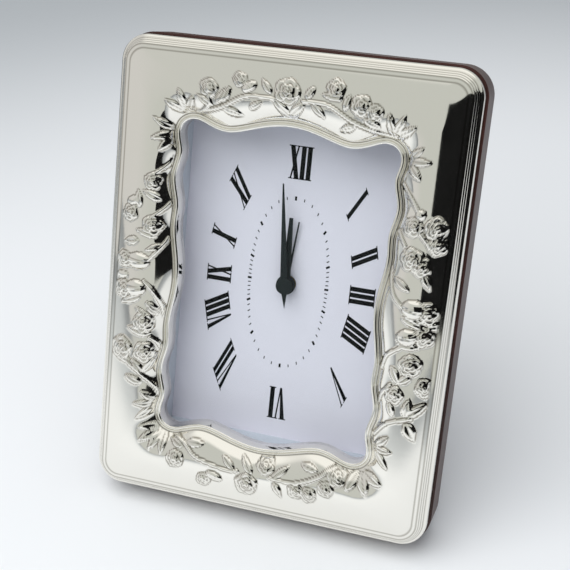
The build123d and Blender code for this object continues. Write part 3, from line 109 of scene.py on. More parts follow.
# Wavy opening: half sizes, and one quarter's points as shares of them, from the top round to the right.
OPENING_HALF = (44.9, 65.8)
OPENING_QUARTER = (
    (0.0, 1.0), (0.2, 0.983), (0.379, 0.948), (0.568, 0.924), (0.735, 0.953), (0.873, 0.976),
    (0.96, 0.945), (0.987, 0.881), (0.958, 0.783), (1.0, 0.623), (0.958, 0.456), (0.964, 0.327),
    (0.927, 0.137), (0.909, 0.0),
)
WAVE_STEPS = 24

# Mesh of the front: points on a quarter of each ring, rings on the dome, on the slope and on the lip, and the
# rings over which the garland fades at its edges.
QUARTER_POINTS = 268
DOME_RINGS = 23
SLOPE_RINGS = 27
LIP_RINGS = 8
FADE_RINGS = 2

# The garland was set out on a sheet laid at the seam: its points draw in and shift by this much on the front.
GARLAND_SCALE = 0.982
GARLAND_SHIFT = (2.2, 2.0)

# Roses: place, radius and turn in degrees.
ROSES = (
    (-35.0, 77.0, 3.6, 10), (-22.5, 81.5, 2.8, 40), (-3.0, 79.0, 5.0, 0), (16.0, 82.3, 3.6, 25),
    (26.5, 77.0, 4.0, 60), (31.8, 75.0, 3.2, 15),
    (-56.0, 37.0, 3.6, 20), (-65.0, 23.0, 3.4, 50), (-55.0, 19.0, 4.2, 5), (-66.5, 3.2, 3.5, 30),
    (-66.5, -9.5, 3.8, 0), (-56.0, -22.5, 4.5, 45), (-65.5, -35.0, 4.8, 15), (-55.0, -35.5, 4.5, 60),
    (-37.5, -79.5, 3.8, 35), (-24.0, -86.0, 3.0, 0), (-5.0, -84.0, 4.7, 20), (2.5, -74.5, 3.8, 50),
    (16.5, -82.5, 3.3, 10), (22.0, -83.0, 3.3, 40), (29.0, -79.0, 3.3, 0), (33.0, -73.0, 4.0, 30),
    (60.5, 34.5, 4.4, 15), (61.8, 28.0, 3.8, 45), (51.5, 34.0, 3.8, 0), (52.5, 21.5, 4.5, 30),
    (56.5, 19.0, 3.8, 55), (61.0, 1.0, 4.4, 10), (61.0, -8.5, 3.9, 40), (57.0, -20.5, 4.4, 20),
    (64.0, -29.0, 3.8, 50), (52.0, -33.5, 3.7, 5),
)

# Leaves: foot, tip and width.
LEAVES = (
    (-45.5, 66.0, -53.5, 70.5, 3.4), (-45.0, 67.0, -47.7, 75.5, 3.2), (-44.0, 67.0, -41.3, 73.0, 3.0),
    (-49.0, 58.6, -57.8, 62.8, 3.0), (-49.0, 57.0, -58.3, 54.3, 3.2), (-49.5, 55.5, -54.8, 49.3, 3.0),
    (-31.5, 71.0, -27.8, 77.5, 2.6), (-29.0, 72.0, -26.0, 78.7, 2.4), (-33.0, 70.0, -40.0, 73.5, 3.0),
    (-9.5, 77.5, -13.8, 82.8, 2.8), (-1.5, 69.3, -9.0, 76.0, 3.6), (-1.5, 69.3, 4.5, 75.8, 3.6),
    (4.5, 77.0, 7.6, 82.2, 2.8), (19.0, 78.5, 10.5, 79.6, 3.0), (20.0, 74.5, 21.6, 80.6, 2.6),
    (34.5, 69.3, 27.5, 72.0, 3.2), (39.5, 66.5, 37.2, 75.7, 3.0), (40.0, 66.5, 43.6, 75.5, 3.2),
    (40.5, 66.3, 48.5, 71.7, 3.2), (-29.0, 69.6, -20.3, 67.4, 3.2), (-18.0, 70.5, -13.0, 74.0, 2.6),
    (7.0, 75.6, 12.6, 70.4, 3.0), (25.0, 68.7, 18.4, 66.6, 3.0),
    (46.8, 59.5, 52.0, 64.0, 2.9), (46.5, 58.6, 55.7, 58.8, 3.2), (46.5, 58.0, 52.3, 51.6, 3.2),
    (-52.0, 29.8, -60.0, 32.8, 3.6), (-61.0, 25.8, -62.0, 33.0, 3.0), (-60.5, 12.0, -67.0, 10.8, 3.6),
    (-50.5, 11.0, -57.2, 8.2, 2.6), (-52.5, 14.5, -62.0, 16.5, 3.4), (-58.0, -11.5, -67.0, -15.3, 3.4),
    (-50.3, -17.3, -55.8, -13.2, 2.6), (-50.3, -18.7, -54.8, -16.0, 2.4), (-53.0, -21.0, -59.8, -16.3, 2.8),
    (-52.8, -27.2, -63.3, -25.6, 4.2), (-55.0, -44.3, -60.5, -39.2, 3.2), (-55.0, -44.3, -50.3, -37.3, 3.0),
    (-60.5, -40.5, -69.0, -38.0, 3.4), (-55.3, -49.2, -63.0, -47.0, 3.6), (-48.5, -57.0, -55.8, -52.7, 3.0),
    (-48.5, -57.8, -58.5, -58.8, 3.2), (-48.8, -58.8, -56.7, -65.3, 3.4), (-45.5, -68.0, -55.3, -68.8, 3.4),
    (-45.5, -68.8, -55.0, -75.0, 3.6), (-45.0, -69.0, -50.0, -78.0, 3.6), (-44.0, -69.0, -44.3, -79.0, 3.6),
    (-34.5, -74.0, -40.8, -71.3, 3.0), (-33.2, -71.6, -25.2, -71.0, 3.4), (-11.0, -79.0, -16.7, -73.7, 3.0),
    (-3.0, -79.5, -8.3, -72.3, 3.2), (5.5, -79.5, 12.7, -72.8, 2.8), (6.8, -81.0, 10.7, -86.8, 3.0),
    (17.3, -71.0, 25.2, -72.4, 3.2), (41.0, -69.5, 37.3, -78.0, 4.2), (42.5, -69.5, 45.8, -78.5, 4.6),
    (43.5, -69.0, 51.8, -72.8, 4.4), (57.5, 17.0, 61.2, 10.2, 3.2), (46.4, 13.2, 53.2, 8.8, 3.0),
    (61.8, -4.6, 68.4, -2.7, 3.2), (51.3, -1.6, 61.5, -5.2, 3.6), (51.0, -12.5, 60.0, -13.0, 3.6),
    (49.5, -22.0, 53.5, -29.0, 3.6), (58.0, -24.5, 52.5, -28.8, 3.2), (57.5, -42.0, 58.5, -34.0, 3.8),
    (57.5, -42.0, 66.0, -35.0, 3.8), (52.5, -42.5, 50.0, -36.0, 3.0), (58.0, -44.3, 62.3, -51.3, 5.0),
    (46.8, -56.5, 52.2, -51.3, 3.0), (46.8, -57.2, 54.3, -57.8, 3.0), (46.8, -58.0, 53.2, -65.3, 3.4),
)

# Buds: foot, tip and width.
BUDS = (
    (-21.2, 77.3, -15.7, 81.0, 3.6), (-55.0, 3.6, -64.8, 3.2, 7.0), (-64.4, -3.2, -69.6, -3.8, 3.0),
    (-56.0, -7.6, -65.0, -9.0, 7.0), (-23.0, -82.7, -15.8, -84.6, 3.6), (52.8, 37.0, 54.8, 40.8, 3.8),
    (50.8, 2.4, 60.0, 1.6, 7.6), (50.3, -10.2, 58.4, -8.6, 6.8), (-61.5, 29.5, -66.5, 26.8, 3.6),
)

# Stems, each through its own points.
STEMS = (
    ((-40.5, 66.3), (-29.5, 70.0), (-19.5, 75.4), (-8.0, 75.6)),
    ((3.5, 76.0), (13.5, 75.6), (24.0, 70.3), (36.0, 66.8), (40.5, 66.3)),
    ((-38.0, 67.0), (-34.5, 70.5), (-35.0, 74.0)),
    ((-47.0, 50.5), (-50.5, 44.5), (-55.5, 40.0)),
    ((-47.6, 31.0), (-50.5, 26.5), (-55.0, 22.5)),
    ((-47.3, 18.5), (-50.0, 11.5), (-55.5, 4.5)),
    ((-57.0, -4.8), (-52.5, -9.0), (-49.3, -14.5), (-48.3, -20.0), (-47.2, -25.5)),
    ((-53.0, -28.6), (-50.0, -31.0), (-47.6, -35.5)),
    ((-62.0, -41.0), (-55.0, -45.8), (-50.0, -50.5), (-47.6, -54.5)),
    ((-41.0, -69.3), (-34.0, -72.2), (-28.0, -77.0), (-15.0, -79.7), (-9.5, -79.2)),
    ((5.0, -79.2), (15.0, -79.2), (24.0, -75.5), (31.0, -70.2), (38.5, -68.4)),
    ((45.3, 49.5), (49.5, 44.6), (53.0, 40.0)),
    ((45.8, 31.5), (49.2, 26.2)),
    ((54.5, 32.0), (59.0, 27.3)),
    ((44.3, 17.5), (45.6, 9.5), (48.0, 5.0), (52.0, 1.5)),
    ((52.5, -13.8), (47.3, -18.0), (45.3, -24.0)),
    ((60.0, -42.2), (51.0, -45.5), (45.6, -52.0)),
    ((50.0, -29.5), (46.8, -34.5), (45.4, -39.5)),
)
STEM_RADIUS = 0.7
STEM_STEPS = 10

# Petal rings of a rose as shares of its radius: petals, distance out, petal radius, hollow and rim heights.
ROSE_PETALS = (
    (5, 0.57, 0.48, 0.13, 0.24),
    (4, 0.30, 0.37, 0.21, 0.33),
    (3, 0.12, 0.22, 0.28, 0.40),
)
PETAL_EDGE = 0.22
ROSE_CUSHION = 0.18

# A leaf's height in millimetres, how blunt it is, how round its ends and edge are, and its creased vein.
LEAF_RISE = 0.75
LEAF_TAPER = 0.8
LEAF_END = 0.001
LEAF_EDGE = 0.35
VEIN_HEIGHT = 0.35
VEIN_CREASE = 0.12

# A bud's height as a share of its width, and the depth, spread, width and end of its two seams.
BUD_RISE = 0.26
SEAM_DEPTH = 0.12
SEAM_SPREAD = 0.35
SEAM_WIDTH = 0.09
SEAM_END = 0.05

# Tarnish: full in hollows of this depth in millimetres, and this much of it in the border's grooves.
RECESS_DEPTH = 0.12
GROOVE_TARNISH = 0.7

# Printed dial: base centre, top centre and reading direction of the numerals on the right of the dial.
NUMERAL_PLACES = {
    12: ((0.0, 43.7), (0.0, 57.3), (1.0, 0.0)),
    1: ((21.5, 31.0), (28.5, 43.0), (0.4, -0.92)),
    2: ((25.2, 13.3), (35.5, 19.0), (0.2, -0.98)),
    3: ((25.8, 0.0), (36.5, 0.0), (0.0, -1.0)),
    4: ((25.2, -13.3), (35.5, -19.0), (-0.2, -0.98)),
    5: ((21.5, -32.0), (28.5, -46.5), (-0.4, -0.92)),
    6: ((0.0, -45.0), (0.0, -59.0), (-1.0, 0.0)),
}
NUMERALS = dict(enumerate("I II III IIII V VI VII VIII IX X XI XII".split(), 1))
# The print's shift from its drawn places, on the right of the dial and on the left.
NUMERAL_SHIFT = (0.5, -0.3)
LEFT_SHIFT = (1.1, -0.3)
LETTER_ADVANCE = {"I": 2.55, "V": 4.9, "X": 4.5}
SERIF_HEIGHT = 0.42
SERIF_REACH = 0.55
# Thickness of the ink, and the share of it by which each stroke of a letter lies under the one before.
INK_HEIGHT = 0.05
INK_STEP = 0.05
# Minute track: half sizes and roundness of its oval, and its ticks.
TRACK_HALF = (16.57, 35.6)
TRACK_POWER = 2.3
TICK_LENGTH = 1.2
TICK_WIDTH = 0.38
HOUR_TICK_LENGTH = 1.7
HOUR_TICK_WIDTH = 0.85

# Camera on the face's axes, and what it looks at.
CAMERA_PLACE = (121.7, 111.9, 424.9)
CAMERA_AIM = (2.1, 2.1, 0.0)

# Dark cards that only mirrors see, on the right and behind on the left: radius, ends in degrees round from
# the front to the right, foot at each end, and head.
CARDS = (
    (0.75, 8, 125, 0.13, -0.02, 0.5),
    (0.3, -170, -105, 0.0, 0.0, 0.2),
)

# Pool of light painted on the paper: the middle of its white, how far from it the white starts to fade,
# and where the paper is painted grey as shade, standing for the lamp's light falling off.
PAINTED_LIGHT_CENTRE = (0.22, 0.0, 0.0)
PAINTED_LIGHT_FADE = (0.4, 0.9)

# Where the room passes from its left wall to its front, by the view's share to the right, and where it passes
# to the ceiling, by the view's share upward.
LEFT_WALL_SPAN = (-0.7, -0.2)
CEILING_SPAN = (0.76, 0.88)

# Large lamp over the front, on the left: its place, what it points at and its side.
KEY_PLACE = (-0.3, -0.55, 1.15)
KEY_AIM = (0.0, 0.0, 0.08)
KEY_SIDE = 1.3

# How the wood's noise is scaled to draw it out along the grain.
GRAIN_DRAW = (1.0, 0.06, 1.0)

# Span of the noise in which the two colours of specks meet, and depth of the specks in millimetres.
SPECK_SPAN = (0.4, 0.62)
SPECK_DEPTH = 0.03

# Where the copper-coloured band starts along the cell.
BAND_START = 0.7

# Sockets of the mix node, for colours and for vectors.
MIX_FACTOR, MIX_FIRST, MIX_SECOND, MIX_RESULT = 0, 6, 7, 2
VECTOR_FIRST, VECTOR_SECOND, VECTOR_RESULT = 4, 5, 1


def linear(code):
    """Linear colour from an sRGB hex code."""
    shares = [int(code[place : place + 2], 16) / 255 for place in (1, 3, 5)]
    return tuple(share / 12.92 if share <= 0.04045 else ((share + 0.055) / 1.055) ** 2.4 for share in shares)


def opaque(colour):
    """A colour as a socket takes it, with full alpha."""
    return (*colour, 1.0)


def grain(size):
    """Texture scale that gives features of a size in millimetres on coordinates in metres."""
    return 1.0 / (size * MM)


def to_world(points):
    """Face points in millimetres as points of the scene."""
    return np.asarray(points, float) @ FACE_AXES * MM + np.array(SEAM)


def colour_setting(name, description, code):
    """A colour that the sidebar shows, given as an sRGB hex code."""
    return FloatVectorProperty(
        name=name, description=description, subtype="COLOR", size=3, min=0.0, max=1.0, default=linear(code)
    )


def share_setting(name, description, share):
    """A share from 0 to 1 that the sidebar shows."""
    return FloatProperty(
        name=name, description=description, subtype="FACTOR", min=0.0, max=1.0, default=share
    )


class SilverSettings(bpy.types.PropertyGroup):
    """Look of the pressed front."""

    bright: colour_setting("Polished silver", "Colour of the rubbed, bright silver", "#F4F1E9")
    tarnish: colour_setting("Tarnish", "Colour in the hollows that the cloth does not reach", "#8C867A")
    roughness: share_setting("Roughness", "Roughness of the polish", 0.06)
    relief: FloatProperty(
        name="Relief", description="Height of the garland against the drawn one",
        min=0.0, max=2.0, default=1.0,
    )


class WoodSettings(bpy.types.PropertyGroup):
    """Look of the stained wood."""

    dark: colour_setting("Dark grain", "Stain in the pores and late wood", "#2A100C")
    light: colour_setting("Light grain", "Stain on the early wood", "#4A2019")
    roughness: share_setting("Roughness", "Roughness of the lacquer", 0.45)


class DialSettings(bpy.types.PropertyGroup):
    """Look of the dial, its print and the hands."""

    card: colour_setting("Dial card", "Colour of the dial", "#EDE4EE")
    spacer: colour_setting("Spacer card", "Colour of the wall between glass and dial", "#CFD1DA")
    ink: colour_setting("Ink", "Colour of the numerals and the minute track", "#08090A")
    hands: colour_setting("Hands", "Colour of the painted hands", "#202425")
    stroke: FloatProperty(
        name="Thick stroke", description="Width of the numerals' thick strokes",
        unit="LENGTH", default=1.9 * MM,
    )
    hairline: FloatProperty(
        name="Thin stroke", description="Width of the numerals' thin strokes",
        unit="LENGTH", default=0.65 * MM,
    )


class WorksSettings(bpy.types.PropertyGroup):
    """Look of the hardware and the movement."""

    brass: colour_setting("Brass", "Colour of hinge, clips and arbor", "#C8A35A")
    steel: colour_setting("Steel", "Colour of the plated steel", "#BFC2C6")
    case: colour_setting("Case", "Colour of the movement's case", "#161618")
    wheels: colour_setting("Wheels", "Colour of the moulded wheels", "#E6E3D8")
    board: colour_setting("Board", "Colour of the circuit board", "#1D5A37")


class StageSettings(bpy.types.PropertyGroup):
    """Floor, light and camera."""

    floor: colour_setting("Floor", "Colour of the paper round the clock", "#EDEFF0")
    # The far floor's grey is painted shade, standing for the lamp's light falling off away from the clock.
    far_floor_painted_shade: colour_setting("Far floor", "Colour of the paper away from the clock", "#BEC2C4")
    sky: colour_setting("Sky", "Colour of the light from all round", "#EEF1F6")
    room: colour_setting("Room", "Colour of the room in front, as mirrors show it", "#CACDC9")
    side_wall: colour_setting("Side wall", "Colour of the room on the left, as mirrors show it", "#D4D4D3")
    ceiling: colour_setting("Ceiling", "Colour of the room overhead, as mirrors show it", "#FFFFFC")
    ambient: FloatProperty(name="Ambient", description="Light from all round", min=0.0, max=2.0, default=0.6)
    key_power: FloatProperty(
        name="Key light", description="Power of the large lamp", unit="POWER", default=14.0
    )
    lens: FloatProperty(name="Lens", description="Focal length of the camera", unit="CAMERA", default=71.46)
    floor_size: FloatProperty(name="Floor size", description="Side of the floor", unit="LENGTH", default=6.0)
    card_steps: IntProperty(
        name="Card steps", description="Faces along each curved dark card", min=4, default=32
    )


GROUPS = {
    "clock_silver": SilverSettings,
    "clock_wood": WoodSettings,
    "clock_dial": DialSettings,
    "clock_works": WorksSettings,
    "clock_stage": StageSettings,
}


def add_node(tree, kind, sockets=None, **fields):
    """Add a shader node, set its fields, set its sockets and link those that are given another's output."""
    node = tree.nodes.new(kind)
    for field, value in fields.items():
        setattr(node, field, value)
    for socket, value in (sockets or {}).items():
        if isinstance(value, bpy.types.NodeSocket):
            tree.links.new(value, node.inputs[socket])
        else:
            node.inputs[socket].default_value = value
    return node


def new_finish(name):
    """An empty material, its node tree and the object coordinates that its patterns are laid on."""
    material = bpy.data.materials.new(name)
    material.use_nodes = True
    tree = material.node_tree
    tree.nodes.clear()
    coordinates = add_node(tree, "ShaderNodeTexCoord")
    return material, tree, coordinates.outputs["Object"]


def coat(material, *nodes):
    """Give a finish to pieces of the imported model."""
    for name in nodes:
        piece = frame["nodes"][name]
        if not piece.material_slots:
            piece.data.materials.append(material)
        for slot in piece.material_slots:
            slot.material = material


def pressed_silver(settings):
    """Silver plate, pressed and rubbed bright: a clear mirror with faint smears, greyer in its hollows."""
    material, tree, where = new_finish("silver_plate_polished")
    smears = add_node(tree, "ShaderNodeTexNoise", {"Vector": where, "Scale": grain(9), "Detail": 3.0})
    polish = add_node(tree, "ShaderNodeMapRange", {
        "Value": smears.outputs["Fac"], "From Min": 0.3, "From Max": 0.75,
        "To Min": settings.roughness * 0.7, "To Max": settings.roughness * 1.6,
    })
    recess = add_node(tree, "ShaderNodeAttribute", attribute_name="recess")
    colour = add_node(tree, "ShaderNodeMix", {
        MIX_FACTOR: recess.outputs["Fac"],
        MIX_FIRST: opaque(settings.bright),
        MIX_SECOND: opaque(settings.tarnish),
    }, data_type="RGBA")
    rubbed = add_node(tree, "ShaderNodeTexNoise", {"Vector": where, "Scale": grain(2.5), "Detail": 2.0})
    ripple = add_node(tree, "ShaderNodeBump", {
        "Height": rubbed.outputs["Fac"], "Strength": 0.03, "Distance": 0.1 * MM,
    })
    silver = add_node(tree, "ShaderNodeBsdfPrincipled", {
        "Base Color": colour.outputs[MIX_RESULT], "Metallic": 1.0, "Roughness": polish.outputs["Result"],
        "Normal": ripple.outputs["Normal"],
    })
    add_node(tree, "ShaderNodeOutputMaterial", {"Surface": silver.outputs[0]})
    return material


def stained_mahogany(name, settings, mitred):
    """Mahogany, stained and lacquered: long dark pores in red-brown wood under a satin film.

    A mitred frame has its grain along each rail; a board has it upright.
    """
    material, tree, where = new_finish(name)
    along = add_node(tree, "ShaderNodeVectorMath", {0: where, 1: tuple(UPWARD)}, operation="DOT_PRODUCT")
    through = add_node(tree, "ShaderNodeVectorMath", {0: where, 1: tuple(OUTWARD)}, operation="DOT_PRODUCT")
    across = add_node(tree, "ShaderNodeSeparateXYZ", {"Vector": where})
    up, out, right = along.outputs["Value"], through.outputs["Value"], across.outputs["X"]
    upright = add_node(tree, "ShaderNodeCombineXYZ", {"X": right, "Y": up, "Z": out})
    lines = upright.outputs["Vector"]
    if mitred:
        lying = add_node(tree, "ShaderNodeCombineXYZ", {"X": up, "Y": right, "Z": out})
        height = add_node(tree, "ShaderNodeMath", {0: up, 1: SEAM.dot(UPWARD)}, operation="SUBTRACT")
        rise = add_node(tree, "ShaderNodeMath", {0: height.outputs[0]}, operation="ABSOLUTE")
        reach = add_node(tree, "ShaderNodeMath", {0: right}, operation="ABSOLUTE")
        apart = add_node(tree, "ShaderNodeMath", {
            0: reach.outputs[0], 1: rise.outputs[0],
        }, operation="SUBTRACT")
        side = add_node(tree, "ShaderNodeMath", {
            0: apart.outputs[0], 1: (HALF_WIDTH - HALF_HEIGHT) * MM,
        }, operation="GREATER_THAN")
        rail = add_node(tree, "ShaderNodeMix", {
            MIX_FACTOR: side.outputs[0], VECTOR_FIRST: lying.outputs["Vector"], VECTOR_SECOND: lines,
        }, data_type="VECTOR")
        lines = rail.outputs[VECTOR_RESULT]
    drawn = add_node(tree, "ShaderNodeMapping", {"Vector": lines, "Scale": GRAIN_DRAW})
    bands = add_node(tree, "ShaderNodeTexNoise", {
        "Vector": drawn.outputs["Vector"], "Scale": grain(2.2), "Detail": 4.0, "Roughness": 0.6,
    })
    pores = add_node(tree, "ShaderNodeTexNoise", {
        "Vector": drawn.outputs["Vector"], "Scale": grain(0.5), "Detail": 2.0,
    })
    contrast = add_node(tree, "ShaderNodeMapRange", {
        "Value": bands.outputs["Fac"], "From Min": 0.35, "From Max": 0.68,
    })
    colour = add_node(tree, "ShaderNodeMix", {
        MIX_FACTOR: contrast.outputs["Result"],
        MIX_FIRST: opaque(settings.dark),
        MIX_SECOND: opaque(settings.light),
    }, data_type="RGBA")
    sheen = add_node(tree, "ShaderNodeMapRange", {
        "Value": pores.outputs["Fac"],
        "To Min": settings.roughness * 0.8, "To Max": settings.roughness * 1.3,
    })
    relief = add_node(tree, "ShaderNodeBump", {
        "Height": pores.outputs["Fac"], "Strength": 0.25, "Distance": 0.05 * MM,
    })
    wood = add_node(tree, "ShaderNodeBsdfPrincipled", {
        "Base Color": colour.outputs[MIX_RESULT], "Roughness": sheen.outputs["Result"], "IOR": 1.5,
        "Coat Weight": 0.08, "Coat Roughness": 0.3, "Normal": relief.outputs["Normal"],
    })
    add_node(tree, "ShaderNodeOutputMaterial", {"Surface": wood.outputs[0]})
    return material


def float_glass():
    """Float glass, cleared and polished: colourless and flat, with a faint mirror over what lies behind."""
    material, tree, where = new_finish("float_glass_clear")
    wiping = add_node(tree, "ShaderNodeTexNoise", {"Vector": where, "Scale": grain(30), "Detail": 2.0})
    film = add_node(tree, "ShaderNodeMapRange", {
        "Value": wiping.outputs["Fac"], "To Min": 0.0, "To Max": 0.02,
    })
    mirror = add_node(tree, "ShaderNodeBsdfPrincipled", {
        "Base Color": opaque(linear("#000000")), "Roughness": film.outputs["Result"], "IOR": 1.5,
        "Specular IOR Level": 0.1,
    })
    clear = add_node(tree, "ShaderNodeBsdfTransparent", {"Color": opaque(linear("#F7FAFA"))})
    glass = add_node(tree, "ShaderNodeAddShader", {0: clear.outputs[0], 1: mirror.outputs[0]})
    add_node(tree, "ShaderNodeOutputMaterial", {"Surface": glass.outputs[0]})
    return material


def speckled(name, first, second, size, detail=3.0, bump=0.2, **surface):
    """A finish of two near colours in specks of a size in millimetres, slightly rough to the touch.

    Card, hardboard, moulded plastic, paint and plated metal differ in their specks and in their shader's
    values, whose names have underscores for the spaces.
    """
    material, tree, where = new_finish(name)
    specks = add_node(tree, "ShaderNodeTexNoise", {"Vector": where, "Scale": grain(size), "Detail": detail})
    share = add_node(tree, "ShaderNodeMapRange", {
        "Value": specks.outputs["Fac"], "From Min": SPECK_SPAN[0], "From Max": SPECK_SPAN[1],
    })
    colour = add_node(tree, "ShaderNodeMix", {
        MIX_FACTOR: share.outputs["Result"], MIX_FIRST: opaque(first), MIX_SECOND: opaque(second),
    }, data_type="RGBA")
    relief = add_node(tree, "ShaderNodeBump", {
        "Height": specks.outputs["Fac"], "Strength": bump, "Distance": SPECK_DEPTH * MM,
    })
    sockets = {"Base Color": colour.outputs[MIX_RESULT], "Normal": relief.outputs["Normal"]}
    sockets.update({socket.replace("_", " "): value for socket, value in surface.items()})
    skin = add_node(tree, "ShaderNodeBsdfPrincipled", sockets)
    add_node(tree, "ShaderNodeOutputMaterial", {"Surface": skin.outputs[0]})
    return material


def shaded(colour, share):
    """A colour darkened or lightened to a share of itself."""
    return tuple(channel * share for channel in colour)


def wound_copper():
    """Enamelled copper wire, wound in layers: fine turns side by side along the bobbin, painted bright on
    each turn's crown as a highlight and dark between turns as shade.

    The turns are drawn far coarser than the real wire, so that they show.
    """
    material, tree, where = new_finish("copper_wire_wound")
    turns = add_node(tree, "ShaderNodeTexWave", {
        "Vector": where, "Scale": grain(1.2), "Distortion": 0.4, "Detail": 1.0,
    }, bands_direction="X")
    # Painted highlight and shade: each turn's crown is coloured bright and the gap to the next turn dark.
    colour = add_node(tree, "ShaderNodeMix", {
        MIX_FACTOR: turns.outputs["Fac"],
        MIX_FIRST: opaque(linear("#7A3417")),
        MIX_SECOND: opaque(linear("#C9703B")),
    }, data_type="RGBA")
    round_wire = add_node(tree, "ShaderNodeBump", {
        "Height": turns.outputs["Fac"], "Strength": 0.6, "Distance": 0.05 * MM,
    })
    copper = add_node(tree, "ShaderNodeBsdfPrincipled", {
        "Base Color": colour.outputs[MIX_RESULT], "Metallic": 0.8, "Roughness": 0.28,
        "Normal": round_wire.outputs["Normal"],
    })
    add_node(tree, "ShaderNodeOutputMaterial", {"Surface": copper.outputs[0]})
    return material


def sleeved_cell():
    """Shrunk sleeve on a dry cell: dark film with a copper-coloured band at the positive end."""
    material, tree, where = new_finish("cell_sleeve_shrunk")
    low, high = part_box("battery")
    place = add_node(tree, "ShaderNodeSeparateXYZ", {"Vector": where})
    band = add_node(tree, "ShaderNodeMath", {
        0: place.outputs["X"], 1: low.x + BAND_START * (high.x - low.x),
    }, operation="GREATER_THAN")
    creases = add_node(tree, "ShaderNodeTexNoise", {"Vector": where, "Scale": grain(4), "Detail": 2.0})
    colour = add_node(tree, "ShaderNodeMix", {
        MIX_FACTOR: band.outputs[0],
        MIX_FIRST: opaque(linear("#1B1C1F")),
        MIX_SECOND: opaque(linear("#A8672F")),
    }, data_type="RGBA")
    relief = add_node(tree, "ShaderNodeBump", {
        "Height": creases.outputs["Fac"], "Strength": 0.15, "Distance": 0.1 * MM,
    })
    sleeve = add_node(tree, "ShaderNodeBsdfPrincipled", {
        "Base Color": colour.outputs[MIX_RESULT], "Metallic": 0.3, "Roughness": 0.3,
        "Normal": relief.outputs["Normal"],
    })
    add_node(tree, "ShaderNodeOutputMaterial", {"Surface": sleeve.outputs[0]})
    return material


def new_piece(name, points, faces, material, smooth):
    """A mesh piece from face points, which moves with the frame."""
    mesh = bpy.data.meshes.new(name)
    mesh.from_pydata(to_world(points).tolist(), [], faces)
    mesh.materials.append(material)
    if smooth:
        mesh.shade_smooth()
    else:
        mesh.shade_flat()
    mesh.update()
    piece = bpy.data.objects.new(name, mesh)
    bpy.context.scene.collection.objects.link(piece)
    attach(piece, "frame")
    return piece


def full_ring(quarter):
    """All four quarters of a ring, clockwise from the middle of the top, from its first quarter."""
    forward, backward = quarter[:-1], quarter[:0:-1]
    return np.concatenate([forward, backward * (1, -1), forward * (-1, -1), backward * (-1, 1)])


def rectangle_ring(inset, corner):
    """Rounded rectangle that runs inside the front's outer edge."""
    across = HALF_WIDTH - inset - corner
    down = HALF_HEIGHT - inset - corner
    bend = corner * math.pi / 2
    run = np.linspace(0, across + bend + down, QUARTER_POINTS + 1)
    turn = np.clip((run - across) / corner, 0, math.pi / 2)
    x = np.minimum(run, across) + corner * np.sin(turn)
    y = HALF_HEIGHT - inset - corner * (1 - np.cos(turn)) - np.maximum(run - across - bend, 0)
    return full_ring(np.stack([x, y], 1))


def smooth_loop(points):
    """Closed cubic through the points, as a fine polyline."""
    points = np.asarray(points, float)
    count = len(points)
    ahead = np.roll(points, -1, 0)
    chord = np.linalg.norm(ahead - points, axis=1)
    before = np.roll(chord, 1)
    slope = (ahead - points) / chord[:, None]
    system = np.diag(2 * (before + chord))
    for row in range(count):
        system[row, row - 1] += before[row]
        system[row, (row + 1) % count] += chord[row]
    bend = np.linalg.solve(system, 6 * (slope - np.roll(slope, 1, 0)))
    share = np.linspace(0, 1, WAVE_STEPS, endpoint=False)[None, :, None]
    left, right = points[:, None], ahead[:, None]
    cubic_left = ((1 - share) ** 3 - (1 - share)) * bend[:, None]
    cubic_right = (share**3 - share) * np.roll(bend, -1, 0)[:, None]
    curve = (1 - share) * left + share * right + chord[:, None, None] ** 2 / 6 * (cubic_left + cubic_right)
    return curve.reshape(-1, 2)


def opening_rings():
    """A function that gives the wavy opening's ring, grown by a distance."""
    quarter = np.array(OPENING_QUARTER) * OPENING_HALF
    corners = np.concatenate([
        quarter, quarter[-2::-1] * (1, -1), quarter[1:] * (-1, -1), quarter[-2:0:-1] * (-1, 1),
    ])
    loop = smooth_loop(corners)
    heading = np.roll(loop, -1, 0) - np.roll(loop, 1, 0)
    heading /= np.linalg.norm(heading, axis=1)[:, None]
    outward = np.stack([-heading[:, 1], heading[:, 0]], 1)
    last = (len(quarter) - 1) * WAVE_STEPS + 1
    run = np.concatenate([[0], np.cumsum(np.linalg.norm(np.diff(loop[:last], axis=0), axis=1))])
    stations = np.linspace(0, run[-1], QUARTER_POINTS + 1)

    def ring(grow):
        grown = (loop + grow * outward)[:last]
        return full_ring(np.stack([np.interp(stations, run, grown[:, axis]) for axis in (0, 1)], 1))

    return ring


def rose_height(x, y, rose):
    """Open rose: rings of hollow petals with raised rims round a curled heart."""
    centre_x, centre_y, radius, turn = rose
    across, up = (x - centre_x) / radius, (y - centre_y) / radius
    height = ROSE_CUSHION * np.sqrt(np.clip(1 - across**2 - up**2, 0, 1))
    for ring, (petals, out, size, hollow, rim) in enumerate(ROSE_PETALS):
        for petal in range(petals):
            angle = math.radians(turn) + 2 * math.pi * (petal + 0.5 * ring) / petals
            reach = np.hypot(across - out * math.cos(angle), up - out * math.sin(angle)) / size
            edge = np.clip((1 - reach) / PETAL_EDGE, 0, 1)
            height = np.maximum(height, (hollow + (rim - hollow) * reach**2) * np.sqrt(edge))
    return radius * height


def along_and_across(x, y, piece):
    """Share of the way from a leaf's foot to its tip, and distance from its midline over its half width."""
    foot_x, foot_y, tip_x, tip_y, width = piece
    length = math.hypot(tip_x - foot_x, tip_y - foot_y)
    right, up = (tip_x - foot_x) / length, (tip_y - foot_y) / length
    share = ((x - foot_x) * right + (y - foot_y) * up) / length
    aside = (y - foot_y) * right - (x - foot_x) * up
    return share, aside / (width / 2)


